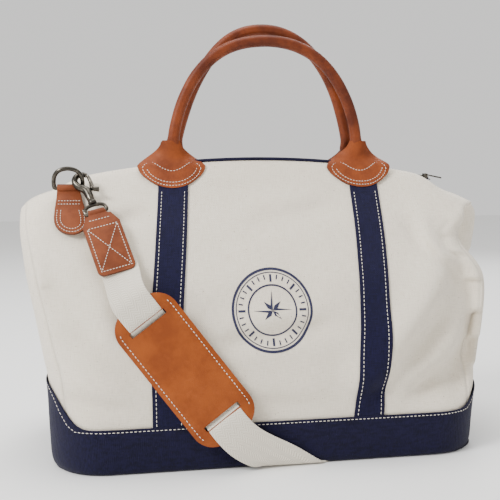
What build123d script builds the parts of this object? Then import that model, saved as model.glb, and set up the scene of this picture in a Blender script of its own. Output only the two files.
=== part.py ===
from build123d import *
import os
from math import radians, sin, cos, tan

# Weekender duffel bag, millimetres. Origin at the middle of the base, on the ground.
# +X runs along the bag to its right end, +Y to its back, +Z up.

# Canvas body
wall = 2.5
base_thickness = 4.5
boot_height = 52.0
ridge_radius = 1100.0
ridge_height = 342.0
ridge_centre_z = ridge_height - ridge_radius
end_split_x = 190.0
# height, half length, half depth and corner radius of each level of the body
levels = [
    (0.0, 246.0, 125.0, 60.0),
    (boot_height, 249.0, 128.0, 62.0),
    (120.0, 258.0, 122.0, 60.0),
    (200.0, 272.0, 104.0, 50.0),
    (260.0, 280.0, 64.0, 34.0),
    (285.0, 280.0, 45.0, 23.0),
    (305.0, 250.0, 31.0, 16.0),
    (345.0, 215.0, 10.0, 6.0),
]

# Mouth: the two lips turn on a line across the top of the front and back
lip_hinge_z = 305.0
lip_gap = 0.4
mouth_half_length = 205.0
zip_half_gap = 7.5

# Zip
teeth_drop = 3.5
teeth_height = 2.5
teeth_inner_y = 0.4
teeth_outer_y = 2.5
tape_drop = 4.0
tape_thickness = 1.0
tape_outer_y = 7.3
zip_half_length = 204.0
slider_angle = 11.2
zip_end_length = 19.0
slider_length = 14.0
slider_width = 11.0
slider_drop = 3.2
slider_height = 2.4
pull_length = 24.0
pull_width = 5.4
pull_thickness = 1.6
pull_lift = 1.2
pull_hinge_x = 2.6
pull_pin_radius = 0.6
pull_pin_gap = 0.15
post_height = 3.4
post_y = 3.6
post_size = (4.0, 1.4)

# Handles and their straps
handle_centre_x = 8.0
handle_spread = 115.0
handle_y = 10.0
handle_radius = 7.0
core_radius = 4.5
core_clearance = 0.2
handle_start_z = 361.0
navy_strap_width = 35.0
navy_strap_thickness = 1.4
strap_gap = 0.2

# Anchors: outline given from the middle of the anchor's foot, up the lip
anchor_thickness = 3.0
anchor_tip = (41.0, 30.0)
anchor_neck = (13.0, 50.0)
anchor_foot = 2.0
anchor_side = (20.0, 37.0)
anchor_belly = (28.0, 9.5)
lip_slope = (levels[-2][2] - levels[-1][2]) / (levels[-1][0] - levels[-2][0])

# D-ring and its tab, on the slope of the shoulder
tab_centre = Vector(-226, -51.2, 281)
shoulder_up = Vector(0, 33, 45).normalized()
tab_foot_half_width = 17.0
tab_top_half_width = 13.0
tab_foot_start = -8.0
tab_length = 56.0
tab_thickness = 3.0
ring_wire = 4.5
ring_half_width = 16.0
ring_leg = 8.0
ring_lean = 60.0
ring_bar_up = 31.0
ring_bar_out = 2.6
tab_roll_radius = 4.6
tab_roll_bore = 2.6

# Snap hook
hook_thickness = 6.0
curl_inner = 7.0
curl_outer = 10.6
shank_top = -9.5
shank_end = -28.0
shank_width = 7.0
barrel_radius = 4.6
barrel_end = -35.0
swivel_gap = 0.4
gate_pivot = (6.8, -13.5)
gate_pin_radius = 1.0
gate_clearance = 0.06
loop_bar_y = -47.0
loop_half_width = 13.5
loop_wire = 3.2
collar_half_width = 3.4
loop_inner = loop_half_width - loop_wire
swivel_half = [
    (collar_half_width, barrel_end + collar_half_width), (loop_half_width, barrel_end - 3),
    (loop_half_width, loop_bar_y - loop_wire / 2),
]
swivel_hole = [
    (loop_inner, loop_bar_y + loop_wire / 2), (loop_inner, barrel_end - 5),
    (collar_half_width, barrel_end - 1.2),
]
swivel_outline = [(-x, y) for x, y in swivel_half] + swivel_half[::-1]
swivel_outline += swivel_hole[::-1] + [(-x, y) for x, y in swivel_hole]

# Shoulder strap
strap_width = 42.0
strap_thickness = 2.2
end_tab_width = 41.0
end_tab_length = 74.0
end_tab_thickness = 3.0
end_tab_tuck = 5.0
pad_length = 180.0
pad_width = 75.0
pad_thickness = 4.0
pad_slot_from_middle = 64.3
pad_slot = (10.6, 45.0)
pad_centre = Vector(-103, -130, 113.5)
pad_axis = Vector(108, -15, -143).normalized()
channel_depth = 2.75
channel_side_gap = 3.0
strap_lying_z = 1.35

# Route of the webbing, from the left end tab, down the front, under the base and up the back
strap_route = [
    (-187.9, -71.4, 264.6), (-178.5, -84.9, 241.8), (-169.0, -98.3, 219.1),
    (-163.4, -127.1, 193.4), (-152.6, -129.4, 179.1), (-144.7, -130.2, 168.8),
    (-138.3, -122.9, 160.3), (-129.3, -124.0, 148.3), (-113.7, -126.0, 127.6),
    (-92.1, -129.0, 99.0), (-76.5, -131.2, 78.3), (-67.4, -132.6, 66.4),
    (-61.9, -141.7, 59.0), (-54.1, -143.1, 48.7), (-43.0, -143.1, 36.5),
    (-27.0, -140.0, 25.0), (-7.0, -136.5, 14.3), (11.0, -132.2, 4.4),
    (17.0, -126.8, 1.35), (38.0, -114.0, 1.35), (74.0, -88.0, 1.35),
    (102.0, -52.0, 1.35), (117.0, -10.0, 1.35), (124.0, 34.0, 1.35),
    (128.0, 78.0, 1.35), (131.0, 112.0, 1.35), (132.0, 127.0, 1.35),
    (133.0, 132.3, 5.2), (135.0, 132.4, 28.0), (139.0, 132.0, 62.0),
    (146.0, 131.0, 100.0), (154.0, 128.5, 134.0), (162.0, 124.5, 163.0),
    (169.0, 120.8, 189.1), (178.5, 107.4, 211.8), (187.9, 93.9, 234.6),
]
# Direction across the webbing at each point of the route
on_tab = (0.941, 0.200, 0.273)
on_pad = (0.795, 0.0, 0.601)
on_back_tab = (0.941, 0.200, -0.273)
strap_across = [on_tab] * 3 + [on_pad] * 11 + [
    (0.78, 0.0, 0.62), (0.80, 0.0, 0.58), (0.90, 0.0, 0.43), (1.0, 0.0, 0.0),
    (1.0, 0.0, 0.0), (1.0, -0.1, 0.0), (0.75, -0.66, 0.0),
    (0.88, -0.47, 0.0), (0.95, -0.30, 0.0), (0.99, -0.12, 0.0),
    (1.0, -0.08, 0.0), (1.0, -0.07, 0.0), (1.0, 0.0, 0.0),
    (1.0, 0.0, 0.0), (0.99, 0.0, -0.10), (0.98, 0.0, -0.15),
    (0.97, 0.05, -0.2), (0.96, 0.1, -0.23), (0.95, 0.15, -0.25),
] + [on_back_tab] * 3
under_base = slice(18, 27)

# The right ring, hook and tab sit half a turn round from the left ones and lower down
right_side = Location((0, 22.5, -30), (0, 0, 180))


def save(part, name):
    part.label = name
    export_step(part, f"parts/{name}.step")


def bag_form(inset, low, high):
    """Closed form of the body, drawn in by inset, between two heights."""
    with BuildPart() as form:
        for height, half_length, half_depth, corner in levels:
            with BuildSketch(Plane.XY.offset(height)):
                RectangleRounded(2 * (half_length - inset), 2 * (half_depth - inset), corner - inset)
        loft(ruled=True)
        with BuildSketch(Plane.XZ):
            with Locations((0, ridge_centre_z)):
                Circle(ridge_radius - inset)
        extrude(amount=300, both=True, mode=Mode.INTERSECT)
        with Locations((0, 0, (low + high) / 2)):
            Box(600, 300, high - low, mode=Mode.INTERSECT)
    return form.part


outer_form = bag_form(0, 0, 345)
inner_form = bag_form(wall, 0, 345)


def canvas(name, low, high):
    """The part of the canvas wall that lies in a box, less the mouth."""
    size = [high[axis] - low[axis] for axis in range(3)]
    middle = [(high[axis] + low[axis]) / 2 for axis in range(3)]
    with BuildPart() as piece:
        add(outer_form)
        add(inner_form, mode=Mode.SUBTRACT)
        with Locations((0, 0, lip_hinge_z - lip_gap / 2 + 50)):
            Box(2 * mouth_half_length, 200, 100, mode=Mode.SUBTRACT)
        with Locations((0, 0, ridge_height)):
            Box(2 * (mouth_half_length + zip_end_length), 2 * zip_half_gap, 100, mode=Mode.SUBTRACT)
        with Locations(tuple(middle)):
            Box(*size, mode=Mode.INTERSECT)
    save(piece.part, name)


# Canvas panels above the boot, and the navy boot below them
canvas("front_panel", (-end_split_x, -150, boot_height), (end_split_x, 0, 350))
canvas("rear_panel", (-end_split_x, 0, boot_height), (end_split_x, 150, 350))
canvas("left_end_panel", (-300, -150, boot_height), (-end_split_x, 150, 350))
canvas("right_end_panel", (end_split_x, -150, boot_height), (300, 150, 350))
canvas("boot_front", (-end_split_x, -150, base_thickness), (end_split_x, 0, boot_height))
canvas("boot_rear", (-end_split_x, 0, base_thickness), (end_split_x, 150, boot_height))
canvas("boot_left", (-300, -150, base_thickness), (-end_split_x, 150, boot_height))
canvas("boot_right", (end_split_x, -150, base_thickness), (300, 150, boot_height))

# Lips of the mouth
lip_half_length = mouth_half_length - lip_gap
for name, side in (("front_lip", -1), ("rear_lip", 1)):
    with BuildPart() as lip:
        add(outer_form)
        add(inner_form, mode=Mode.SUBTRACT)
        with Locations((0, 0, ridge_height)):
            Box(2 * mouth_half_length, 2 * zip_half_gap, 100, mode=Mode.SUBTRACT)
        with Locations((0, side * 50, lip_hinge_z + lip_gap / 2 + 50)):
            Box(2 * lip_half_length, 100, 100, mode=Mode.INTERSECT)
    save(lip.part, name)


# Webbing of the shoulder strap
def stations(route, across_list):
    """A plane and a width for each point, the width measured along the plane's own x."""
    points = [Vector(*p) for p in route]
    found = []
    for index, point in enumerate(points):
        before = points[max(index - 1, 0)]
        after = points[min(index + 1, len(points) - 1)]
        along_in = (point - before).normalized() if index else (after - point).normalized()
        along_out = (after - point).normalized() if index < len(points) - 1 else along_in
        along = (along_in + along_out).normalized()
        across = Vector(*across_list[index]).normalized()
        skew = across.dot(along)
        plane = Plane(origin=point, x_dir=across, z_dir=along - across * skew)
        found.append((plane, 1 / (1 - skew * skew) ** 0.5))
    return found


def ribbon(places, width, thickness):
    with BuildPart() as band:
        for plane, stretch in places:
            with BuildSketch(plane):
                Rectangle(width * stretch, thickness)
        loft(ruled=True)
    return band.part


strap_places = stations(strap_route, strap_across)
save(ribbon(strap_places, strap_width, strap_thickness), "strap_webbing")
channel_cutter = ribbon(
    strap_places[under_base],
    strap_width + 2 * channel_side_gap,
    2 * (channel_depth - strap_lying_z),
)

# Radii of the strap's bends, from the two runs beside each point
for index in range(1, len(strap_route) - 1):
    here = Vector(*strap_route[index])
    run_in = here - Vector(*strap_route[index - 1])
    run_out = Vector(*strap_route[index + 1]) - here
    turn = run_in.get_angle(run_out)
    if turn > 0.5:
        bend = 0.45 * min(run_in.length, run_out.length) / tan(radians(turn) / 2)
        print(f"strap bend {index}: turn {turn:.1f}, radius {bend:.1f}")

# Base: navy canvas bottom, with a hollow where it lies on the strap, and the board inside
with BuildPart() as base_panel:
    add(bag_form(0, 0, base_thickness))
    add(channel_cutter, mode=Mode.SUBTRACT)
save(base_panel.part, "base_panel")
save(bag_form(wall + 1, base_thickness + 0.1, base_thickness + 3.1), "base_board")

# Slip pocket on the inside of the back
with BuildPart() as inner_pocket:
    add(bag_form(wall + 0.3, 125, 235))
    add(bag_form(wall + 1.8, 120, 240), mode=Mode.SUBTRACT)
    with Locations((0, 100, 180)):
        Box(200, 200, 200, mode=Mode.INTERSECT)
save(inner_pocket.part, "inner_pocket")

# Navy straps up the front and back
strap_inner = bag_form(-strap_gap, boot_height + 0.3, lip_hinge_z - 0.5)
strap_outer = bag_form(-strap_gap - navy_strap_thickness, boot_height + 0.3, lip_hinge_z - 0.5)
strap_lines = {"left": (-106.0, -122.0), "right": (125.0, 104.0)}
for face, side in (("front", -1), ("rear", 1)):
    for end, (top_x, foot_x) in strap_lines.items():
        half = navy_strap_width / 2
        with BuildPart() as navy_strap:
            with BuildSketch(Plane.XZ):
                with BuildLine():
                    Polyline(
                        (foot_x - half, boot_height), (foot_x + half, boot_height),
                        (top_x + half, lip_hinge_z), (top_x - half, lip_hinge_z), close=True,
                    )
                make_face()
            extrude(amount=-side * 150)
            add(strap_outer, mode=Mode.INTERSECT)
            add(strap_inner, mode=Mode.SUBTRACT)
        save(navy_strap.part, f"navy_strap_{face}_{end}")

# Leather anchors at the handle ends
for face, side in (("front", -1), ("rear", 1)):
    for end, along in (("left", -1), ("right", 1)):
        foot = Vector(handle_centre_x + along * handle_spread, side * (31 + 0.3), lip_hinge_z)
        outward = Vector(0, side, lip_slope).normalized()
        with BuildPart() as anchor:
            with BuildSketch(Plane(origin=foot, x_dir=(-side, 0, 0), z_dir=outward)):
                with BuildLine():
                    Line((-anchor_neck[0], anchor_neck[1]), anchor_neck)
                    ThreePointArc(anchor_neck, anchor_side, anchor_tip)
                    Spline(anchor_tip, anchor_belly, (0, anchor_foot), (-anchor_belly[0], anchor_belly[1]),
                           (-anchor_tip[0], anchor_tip[1]))
                    ThreePointArc((-anchor_tip[0], anchor_tip[1]), (-anchor_side[0], anchor_side[1]),
                                  (-anchor_neck[0], anchor_neck[1]))
                make_face()
            extrude(amount=anchor_thickness)
        save(anchor.part, f"anchor_{face}_{end}")

# Rolled handles and their rope cores; the outline is half of each arch
front_arch = [(113, handle_start_z), (109, 400), (86, 446), (32, 480)]
rear_arch = [(106, handle_start_z), (97, 410), (72, 463), (27, 497)]
for face, side, arch, bend in (("front", -1, front_arch, 38), ("rear", 1, rear_arch, 34)):
    right_half = [(handle_centre_x + x, side * handle_y, z) for x, z in arch]
    left_half = [(handle_centre_x - x, side * handle_y, z) for x, z in arch]
    path_points = left_half + right_half[::-1]
    start = Plane(origin=path_points[0], z_dir=Vector(*path_points[1]) - Vector(*path_points[0]))
    with BuildPart() as handle:
        with BuildLine():
            FilletPolyline(*path_points, radius=bend)
        with BuildSketch(start):
            Circle(handle_radius)
            Circle(core_radius + core_clearance, mode=Mode.SUBTRACT)
        sweep()
    save(handle.part, f"handle_{face}")
    with BuildPart() as core:
        with BuildLine():
            FilletPolyline(*path_points, radius=bend)
        with BuildSketch(start):
            Circle(core_radius)
        sweep()
    save(core.part, f"handle_core_{face}")


# Zip tapes and teeth along the ridge
def ridge_strip(name, side, near_y, far_y, drop, height):
    with BuildPart() as strip:
        with BuildSketch(Plane.XZ.offset(near_y if side < 0 else -far_y)):
            with Locations((0, ridge_centre_z)):
                Circle(ridge_radius - drop)
                Circle(ridge_radius - drop - height, mode=Mode.SUBTRACT)
            with Locations((0, ridge_height)):
                Rectangle(2 * zip_half_length, 2 * (ridge_height - lip_hinge_z), mode=Mode.INTERSECT)
        extrude(amount=far_y - near_y)
    save(strip.part, name)


for face, side in (("front", -1), ("rear", 1)):
    ridge_strip(f"zip_tape_{face}", side, teeth_outer_y, tape_outer_y, tape_drop, tape_thickness)
    ridge_strip(f"zip_teeth_{face}", side, teeth_inner_y, teeth_outer_y, teeth_drop, teeth_height)

# Closed ends of the zip, where the slider parks clear of the lips
for end, side in (("left", -1), ("right", 1)):
    with BuildPart() as zip_end:
        with BuildSketch(Plane.XZ):
            with Locations((0, ridge_centre_z)):
                Circle(ridge_radius - tape_drop)
                Circle(ridge_radius - tape_drop - tape_thickness, mode=Mode.SUBTRACT)
            with Locations((side * (mouth_half_length + zip_end_length / 2), lip_hinge_z)):
                Rectangle(zip_end_length - 0.4, 60, mode=Mode.INTERSECT)
        extrude(amount=tape_outer_y, both=True)
    save(zip_end.part, f"zip_end_{end}")

# Zip slider at the closed end, and its pull lying outward along the ridge
ridge_out = Vector(sin(radians(slider_angle)), 0, cos(radians(slider_angle)))
ridge_along = Vector(cos(radians(slider_angle)), 0, -sin(radians(slider_angle)))
slider_foot = Vector(0, 0, ridge_centre_z) + ridge_out * (ridge_radius - slider_drop)
slider_plane = Plane(origin=slider_foot, x_dir=ridge_along, z_dir=ridge_out)
hinge_height = slider_height + pull_lift + pull_thickness / 2
hinge_point = slider_foot + ridge_along * pull_hinge_x + ridge_out * hinge_height
hinge_plane = Plane(origin=hinge_point, z_dir=(0, 1, 0))
with BuildPart() as slider:
    with BuildSketch(slider_plane):
        RectangleRounded(slider_length, slider_width, 3)
    extrude(amount=slider_height)
    with BuildSketch(slider_plane.offset(slider_height)):
        with Locations((pull_hinge_x, post_y), (pull_hinge_x, -post_y)):
            Rectangle(*post_size)
    extrude(amount=post_height)
    with BuildSketch(hinge_plane):
        Circle(pull_pin_radius + pull_pin_gap)
    extrude(amount=slider_width / 2, both=True, mode=Mode.SUBTRACT)
save(slider.part, "zip_slider")
with BuildPart() as pull:
    with BuildSketch(slider_plane.offset(slider_height + pull_lift)):
        with Locations((pull_length / 2 + 1, 0)):
            RectangleRounded(pull_length, pull_width, 2)
    extrude(amount=pull_thickness)
    with BuildSketch(hinge_plane):
        Circle(pull_pin_radius)
    extrude(amount=post_y, both=True)
save(pull.part, "zip_pull")

# Shoulder pad with its two slots
pad_out = (Vector(0, -1, 0) - pad_axis * Vector(0, -1, 0).dot(pad_axis)).normalized()
with BuildPart() as pad:
    with BuildSketch(Plane(origin=pad_centre, x_dir=pad_axis, z_dir=pad_out)):
        RectangleRounded(pad_length, pad_width, 26)
        with Locations((-pad_slot_from_middle, 0), (pad_slot_from_middle, 0)):
            Rectangle(*pad_slot, mode=Mode.SUBTRACT)
    extrude(amount=pad_thickness)
save(pad.part, "shoulder_pad")

# Ring, tab and hook of each end
shoulder_out = Vector(1, 0, 0).cross(shoulder_up)
ring_up = (shoulder_up * cos(radians(ring_lean)) + shoulder_out * sin(radians(ring_lean))).normalized()
bar_middle = tab_centre + shoulder_up * ring_bar_up + shoulder_out * ring_bar_out
ring_out = Vector(1, 0, 0).cross(ring_up)
curl_centre = bar_middle + Vector(1, 0, 0) * ring_half_width + ring_up * (ring_leg + 1)
hook_down = (Vector(1, 0, 0) * 0.34 - shoulder_up * 0.94).normalized()
hook_across = shoulder_out.cross(hook_down)
end_tab_out = shoulder_out.rotate(Axis((0, 0, 0), hook_across), end_tab_tuck)
loop_bar = curl_centre + hook_down * -loop_bar_y

left_planes = {
    "tab": Plane(origin=tab_centre, x_dir=(1, 0, 0), z_dir=shoulder_out),
    "roll": Plane(origin=bar_middle - Vector(12.5, 0, 0), z_dir=(1, 0, 0)),
    "ring": Plane(origin=bar_middle, x_dir=(1, 0, 0), z_dir=ring_out),
    "hook": Plane(origin=curl_centre, x_dir=hook_across, z_dir=shoulder_out),
    "barrel": Plane(origin=curl_centre + hook_down * -shank_end, x_dir=hook_across, z_dir=hook_down),
    "end_tab": Plane(origin=loop_bar, x_dir=hook_across, z_dir=end_tab_out),
    "end_roll": Plane(origin=loop_bar - hook_across * 9, z_dir=hook_across),
}
for end, place in (("left", Location()), ("right", right_side)):
    planes = {name: Plane(place * plane.location) for name, plane in left_planes.items()}

    # Ring tab: a leather patch whose upper end rolls round the bar of the ring
    with BuildPart() as ring_tab:
        with BuildSketch(planes["tab"]):
            with BuildLine():
                Polyline((-tab_foot_half_width, tab_foot_start), (-tab_top_half_width, tab_length / 2),
                         (tab_top_half_width, tab_length / 2), (tab_foot_half_width, tab_foot_start))
                ThreePointArc((tab_foot_half_width, tab_foot_start), (0, -tab_length / 2),
                              (-tab_foot_half_width, tab_foot_start))
            make_face()
        extrude(amount=tab_thickness)
        with BuildSketch(planes["roll"]):
            Circle(tab_roll_radius)
        extrude(amount=25)
        with BuildSketch(planes["roll"].offset(-2)):
            Circle(tab_roll_bore)
        extrude(amount=30, mode=Mode.SUBTRACT)
    save(ring_tab.part, f"ring_tab_{end}")

    # D-ring: a straight bar, two short legs and a round top, of round wire
    with BuildPart() as d_ring:
        with BuildSketch(planes["ring"].offset(-ring_wire / 2)):
            for reach, mode in ((ring_wire / 2, Mode.ADD), (-ring_wire / 2, Mode.SUBTRACT)):
                with BuildLine():
                    Polyline((-ring_half_width - reach, ring_leg), (-ring_half_width - reach, -reach),
                             (ring_half_width + reach, -reach), (ring_half_width + reach, ring_leg))
                    ThreePointArc((ring_half_width + reach, ring_leg), (0, ring_leg + ring_half_width + reach),
                                  (-ring_half_width - reach, ring_leg))
                make_face(mode=mode)
        extrude(amount=ring_wire)
        chamfer(d_ring.edges().filter_by(planes["ring"]), ring_wire * 0.29)
    save(d_ring.part, f"d_ring_{end}")

    # Hook: an open curl, a shank with a pin for the gate, and a pin that turns in the swivel
    with BuildPart() as hook:
        with BuildSketch(planes["hook"].offset(-hook_thickness / 2)):
            Circle(curl_outer)
            Circle(curl_inner, mode=Mode.SUBTRACT)
            with Locations((8.0, -4.0)):
                Rectangle(10, 15, mode=Mode.SUBTRACT)
            with Locations((0, (shank_top + shank_end) / 2)):
                Rectangle(shank_width, shank_top - shank_end)
        extrude(amount=hook_thickness)
        with BuildSketch(planes["hook"].offset(-hook_thickness / 2)):
            with Locations(gate_pivot):
                Circle(2.4)
            with Locations((gate_pivot[0] / 2, gate_pivot[1])):
                Rectangle(gate_pivot[0], 4.8)
        extrude(amount=0.8)
        with BuildSketch(planes["hook"].offset(-hook_thickness / 2)):
            with Locations(gate_pivot):
                Circle(gate_pin_radius)
        extrude(amount=hook_thickness - 0.4)
        with BuildSketch(planes["barrel"]):
            Circle(barrel_radius - 1)
        extrude(amount=2)
        with BuildSketch(planes["barrel"].offset(2)):
            Circle(2)
        extrude(amount=shank_end - barrel_end)
    save(hook.part, f"hook_{end}")

    # Gate that closes the curl, with its thumb stud
    with BuildPart() as gate:
        with BuildSketch(planes["hook"].offset(1 - hook_thickness / 2)):
            with BuildLine():
                Polyline((5.8, 3.1), (9.4, 3.1), (10.4, -5.8), (9.6, -13.0), (13.8, -16.0), (12.0, -18.4),
                         (4.4, -16.0), (4.6, -11.0), (6.2, -6.0), (5.8, 3.1))
            make_face()
            with Locations(gate_pivot):
                Circle(gate_pin_radius + gate_clearance, mode=Mode.SUBTRACT)
        extrude(amount=hook_thickness - 2)
    save(gate.part, f"hook_gate_{end}")

    # Swivel: a collar round the pin, and the loop that the strap's end tab holds
    with BuildPart() as swivel:
        with BuildSketch(planes["barrel"].offset(2 + swivel_gap)):
            Circle(barrel_radius)
            Circle(2 + swivel_gap, mode=Mode.SUBTRACT)
        extrude(amount=shank_end - barrel_end - swivel_gap - 2)
        with BuildSketch(planes["hook"].offset(-loop_wire / 2)):
            with BuildLine():
                Polyline(*swivel_outline, close=True)
            make_face()
        extrude(amount=loop_wire)
    save(swivel.part, f"swivel_{end}")

    # End tab of the strap, rolled round the bar of the swivel's loop
    with BuildPart() as end_tab:
        with BuildSketch(planes["end_tab"]):
            with Locations((0, -end_tab_length / 2 - 3.4)):
                RectangleRounded(end_tab_width, end_tab_length - 6.8, 8)
            with Locations((0, -7)):
                Rectangle(18, 10)
        extrude(amount=end_tab_thickness)
        with BuildSketch(planes["end_roll"]):
            Circle(tab_roll_radius)
        extrude(amount=18)
        with BuildSketch(planes["end_roll"].offset(-1)):
            Circle(tab_roll_bore)
        extrude(amount=20, mode=Mode.SUBTRACT)
    save(end_tab.part, f"strap_end_tab_{end}")
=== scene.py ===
from math import cos, exp, pi, radians, sin, sqrt

import bmesh
import bpy
from mathutils import Matrix, Vector, noise
from mathutils.bvhtree import BVHTree


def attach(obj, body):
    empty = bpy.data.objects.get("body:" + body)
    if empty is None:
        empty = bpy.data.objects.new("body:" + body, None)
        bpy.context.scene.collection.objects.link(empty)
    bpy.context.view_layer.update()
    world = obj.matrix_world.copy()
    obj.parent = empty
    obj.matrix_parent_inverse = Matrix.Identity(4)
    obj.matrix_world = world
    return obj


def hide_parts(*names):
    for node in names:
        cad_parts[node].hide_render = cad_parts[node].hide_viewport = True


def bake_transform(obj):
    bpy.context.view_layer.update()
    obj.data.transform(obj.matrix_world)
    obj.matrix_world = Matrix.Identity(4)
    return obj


# Canvas weekender bag, in metres: +X to its right end, +Y to its back, +Z up.
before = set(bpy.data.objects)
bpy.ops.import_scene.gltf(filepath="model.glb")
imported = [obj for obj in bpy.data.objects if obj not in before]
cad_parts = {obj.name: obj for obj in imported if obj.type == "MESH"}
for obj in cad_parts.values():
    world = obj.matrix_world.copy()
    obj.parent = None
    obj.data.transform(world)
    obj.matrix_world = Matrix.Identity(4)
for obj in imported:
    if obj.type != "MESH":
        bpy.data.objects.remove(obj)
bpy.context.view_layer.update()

RIDGE_RADIUS = 1.100
RIDGE_CENTRE_Z = -0.758
RIDGE_TOP = RIDGE_RADIUS + RIDGE_CENTRE_Z
LIP_FOLD_Z = 0.305
BOOT_TOP = 0.052
HANDLE_CENTRE_X = 0.008
HANDLE_SPREAD = 0.115


# ---------------------------------------------------------------- camera
camera_data = bpy.data.cameras.new("camera")
camera = bpy.data.objects.new("camera", camera_data)
bpy.context.scene.collection.objects.link(camera)
camera_data.lens = 56.65
camera_data.sensor_width = 36
CAMERA_PLACE = (-0.1699, -0.9585, 0.3116)
CAMERA_YAW, CAMERA_PITCH, CAMERA_ROLL = radians(9.45), radians(4.83), radians(-0.33)
camera.matrix_world = (
    Matrix.Translation(CAMERA_PLACE)
    @ Matrix.Rotation(-CAMERA_YAW, 4, "Z")
    @ Matrix.Rotation(pi / 2 - CAMERA_PITCH, 4, "X")
    @ Matrix.Rotation(CAMERA_ROLL, 4, "Z")
)
bpy.context.scene.camera = camera


# ---------------------------------------------------------------- mesh helpers
def piece_from(bm, name, materials, smooth=True):
    """A finished object from a bmesh, at the origin, with its materials."""
    mesh = bpy.data.meshes.new(name)
    bm.to_mesh(mesh)
    bm.free()
    for material in materials:
        mesh.materials.append(material)
    for face in mesh.polygons:
        face.use_smooth = smooth
    thing = bpy.data.objects.new(name, mesh)
    bpy.context.scene.collection.objects.link(thing)
    return thing


def baked(thing):
    """The object with its modifiers applied to its mesh."""
    depsgraph = bpy.context.evaluated_depsgraph_get()
    depsgraph.update()
    mesh = bpy.data.meshes.new_from_object(thing.evaluated_get(depsgraph), depsgraph=depsgraph)
    thing.modifiers.clear()
    old = thing.data
    thing.data = mesh
    bpy.data.meshes.remove(old)
    return thing


def thicken(thing, thickness, offset=1.0, rim=None):
    wall = thing.modifiers.new("wall", "SOLIDIFY")
    wall.thickness = thickness
    wall.offset = offset
    if rim is not None:
        wall.material_offset_rim = rim
    return thing


def soften(thing, width, segments=2, angle=40):
    edge = thing.modifiers.new("edge", "BEVEL")
    edge.width = width
    edge.segments = segments
    edge.limit_method = "ANGLE"
    edge.angle_limit = radians(angle)
    edge.harden_normals = False
    return thing


def subdivide(thing, levels=1):
    smooth = thing.modifiers.new("smooth", "SUBSURF")
    smooth.levels = levels
    smooth.render_levels = levels
    return thing


def quads(bm, rows, closed=False, flipped=False):
    """Four-sided faces between rows of vertices; closed rows also join their last vertex to their first."""
    faces = []
    for lower, upper in zip(rows, rows[1:]):
        for column in range(len(lower) if closed else len(lower) - 1):
            after = (column + 1) % len(lower)
            corners = (lower[column], lower[after], upper[after], upper[column])
            faces.append(bm.faces.new(corners[::-1] if flipped else corners))
    return faces


def lay_uv(bm, spots):
    """A UV map in metres, from the place that each vertex has on the cloth."""
    uv = bm.loops.layers.uv.new("UVMap")
    for face in bm.faces:
        for loop in face.loops:
            loop[uv].uv = spots[loop.vert]


def tree_of(thing):
    depsgraph = bpy.context.evaluated_depsgraph_get()
    depsgraph.update()
    return BVHTree.FromObject(thing, depsgraph)


def between(low, high, value):
    """0 below low, 1 above high, smooth in between."""
    t = max(0.0, min(1.0, (value - low) / (high - low)))
    return t * t * (3 - 2 * t)


def through(points, value):
    """Smooth curve through a list of rows whose first column is the position; gives the other columns."""
    last = len(points) - 2
    index = 0
    while index < last and value > points[index + 1][0]:
        index += 1
    before, here = points[max(index - 1, 0)], points[index]
    there, after = points[index + 1], points[min(index + 2, last + 1)]
    span = there[0] - here[0]
    t = max(0.0, min(1.0, (value - here[0]) / span))
    found = []
    for column in range(1, len(here)):
        slope_in = (there[column] - before[column]) / (there[0] - before[0]) * span
        slope_out = (after[column] - here[column]) / (after[0] - here[0]) * span
        found.append(
            (2 * t**3 - 3 * t**2 + 1) * here[column] + (t**3 - 2 * t**2 + t) * slope_in
            + (3 * t**2 - 2 * t**3) * there[column] + (t**3 - t**2) * slope_out
        )
    return found


# ---------------------------------------------------------------- material helpers
def new_material(name, color, roughness, **sockets):
    material = bpy.data.materials.new(name)
    material.use_nodes = True
    shader = material.node_tree.nodes["Principled BSDF"]
    shader.inputs["Base Color"].default_value = (*color, 1)
    shader.inputs["Roughness"].default_value = roughness
    for socket, value in sockets.items():
        shader.inputs[socket.replace("_", " ")].default_value = value
    return material


class Wiring:
    """Short names for adding nodes to one tree."""

    def __init__(self, tree):
        self.tree = tree
        self.nodes = tree.nodes
        self.links = tree.links

    def add(self, kind, settings=None, **inputs):
        node = self.nodes.new(kind)
        for key, value in (settings or {}).items():
            setattr(node, key, value)
        for key, value in inputs.items():
            self.set(node, key.replace("_", " "), value)
        return node

    def set(self, node, key, value):
        socket = node.inputs[int(key[1:])] if key[0] == "i" and key[1:].isdigit() else node.inputs[key]
        if isinstance(value, bpy.types.NodeSocket):
            self.links.new(value, socket)
        else:
            socket.default_value = value

    def math(self, operation, first, second=0.0, third=0.0):
        return self.add("ShaderNodeMath", {"operation": operation}, i0=first, i1=second, i2=third).outputs[0]

    def scaled(self, vector, scale):
        return self.add("ShaderNodeMapping", None, Vector=vector, Scale=scale).outputs[0]

    def noise(self, vector, scale, detail=2.0, roughness=0.5):
        return self.add(
            "ShaderNodeTexNoise", None, Vector=vector, Scale=scale, Detail=detail, Roughness=roughness
        ).outputs[0]

    def ramp(self, value, low, high):
        return self.add(
            "ShaderNodeMapRange", {"interpolation_type": "SMOOTHSTEP"}, Value=value, i1=low, i2=high
        ).outputs[0]

    def mix(self, factor, first, second):
        node = self.add("ShaderNodeMix", {"data_type": "RGBA"})
        self.set(node, "i0", factor)
        self.set(node, "i6", first)
        self.set(node, "i7", second)
        return node.outputs[2]


def group(name, inputs, outputs):
    tree = bpy.data.node_groups.new(name, "ShaderNodeTree")
    for label, kind, value in inputs:
        socket = tree.interface.new_socket(name=label, in_out="INPUT", socket_type=kind)
        if value is not None:
            socket.default_value = value
    for label, kind in outputs:
        tree.interface.new_socket(name=label, in_out="OUTPUT", socket_type=kind)
    wiring = Wiring(tree)
    return tree, wiring, wiring.add("NodeGroupInput").outputs, wiring.add("NodeGroupOutput")


VECTOR, FLOAT = "NodeSocketVector", "NodeSocketFloat"


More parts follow.
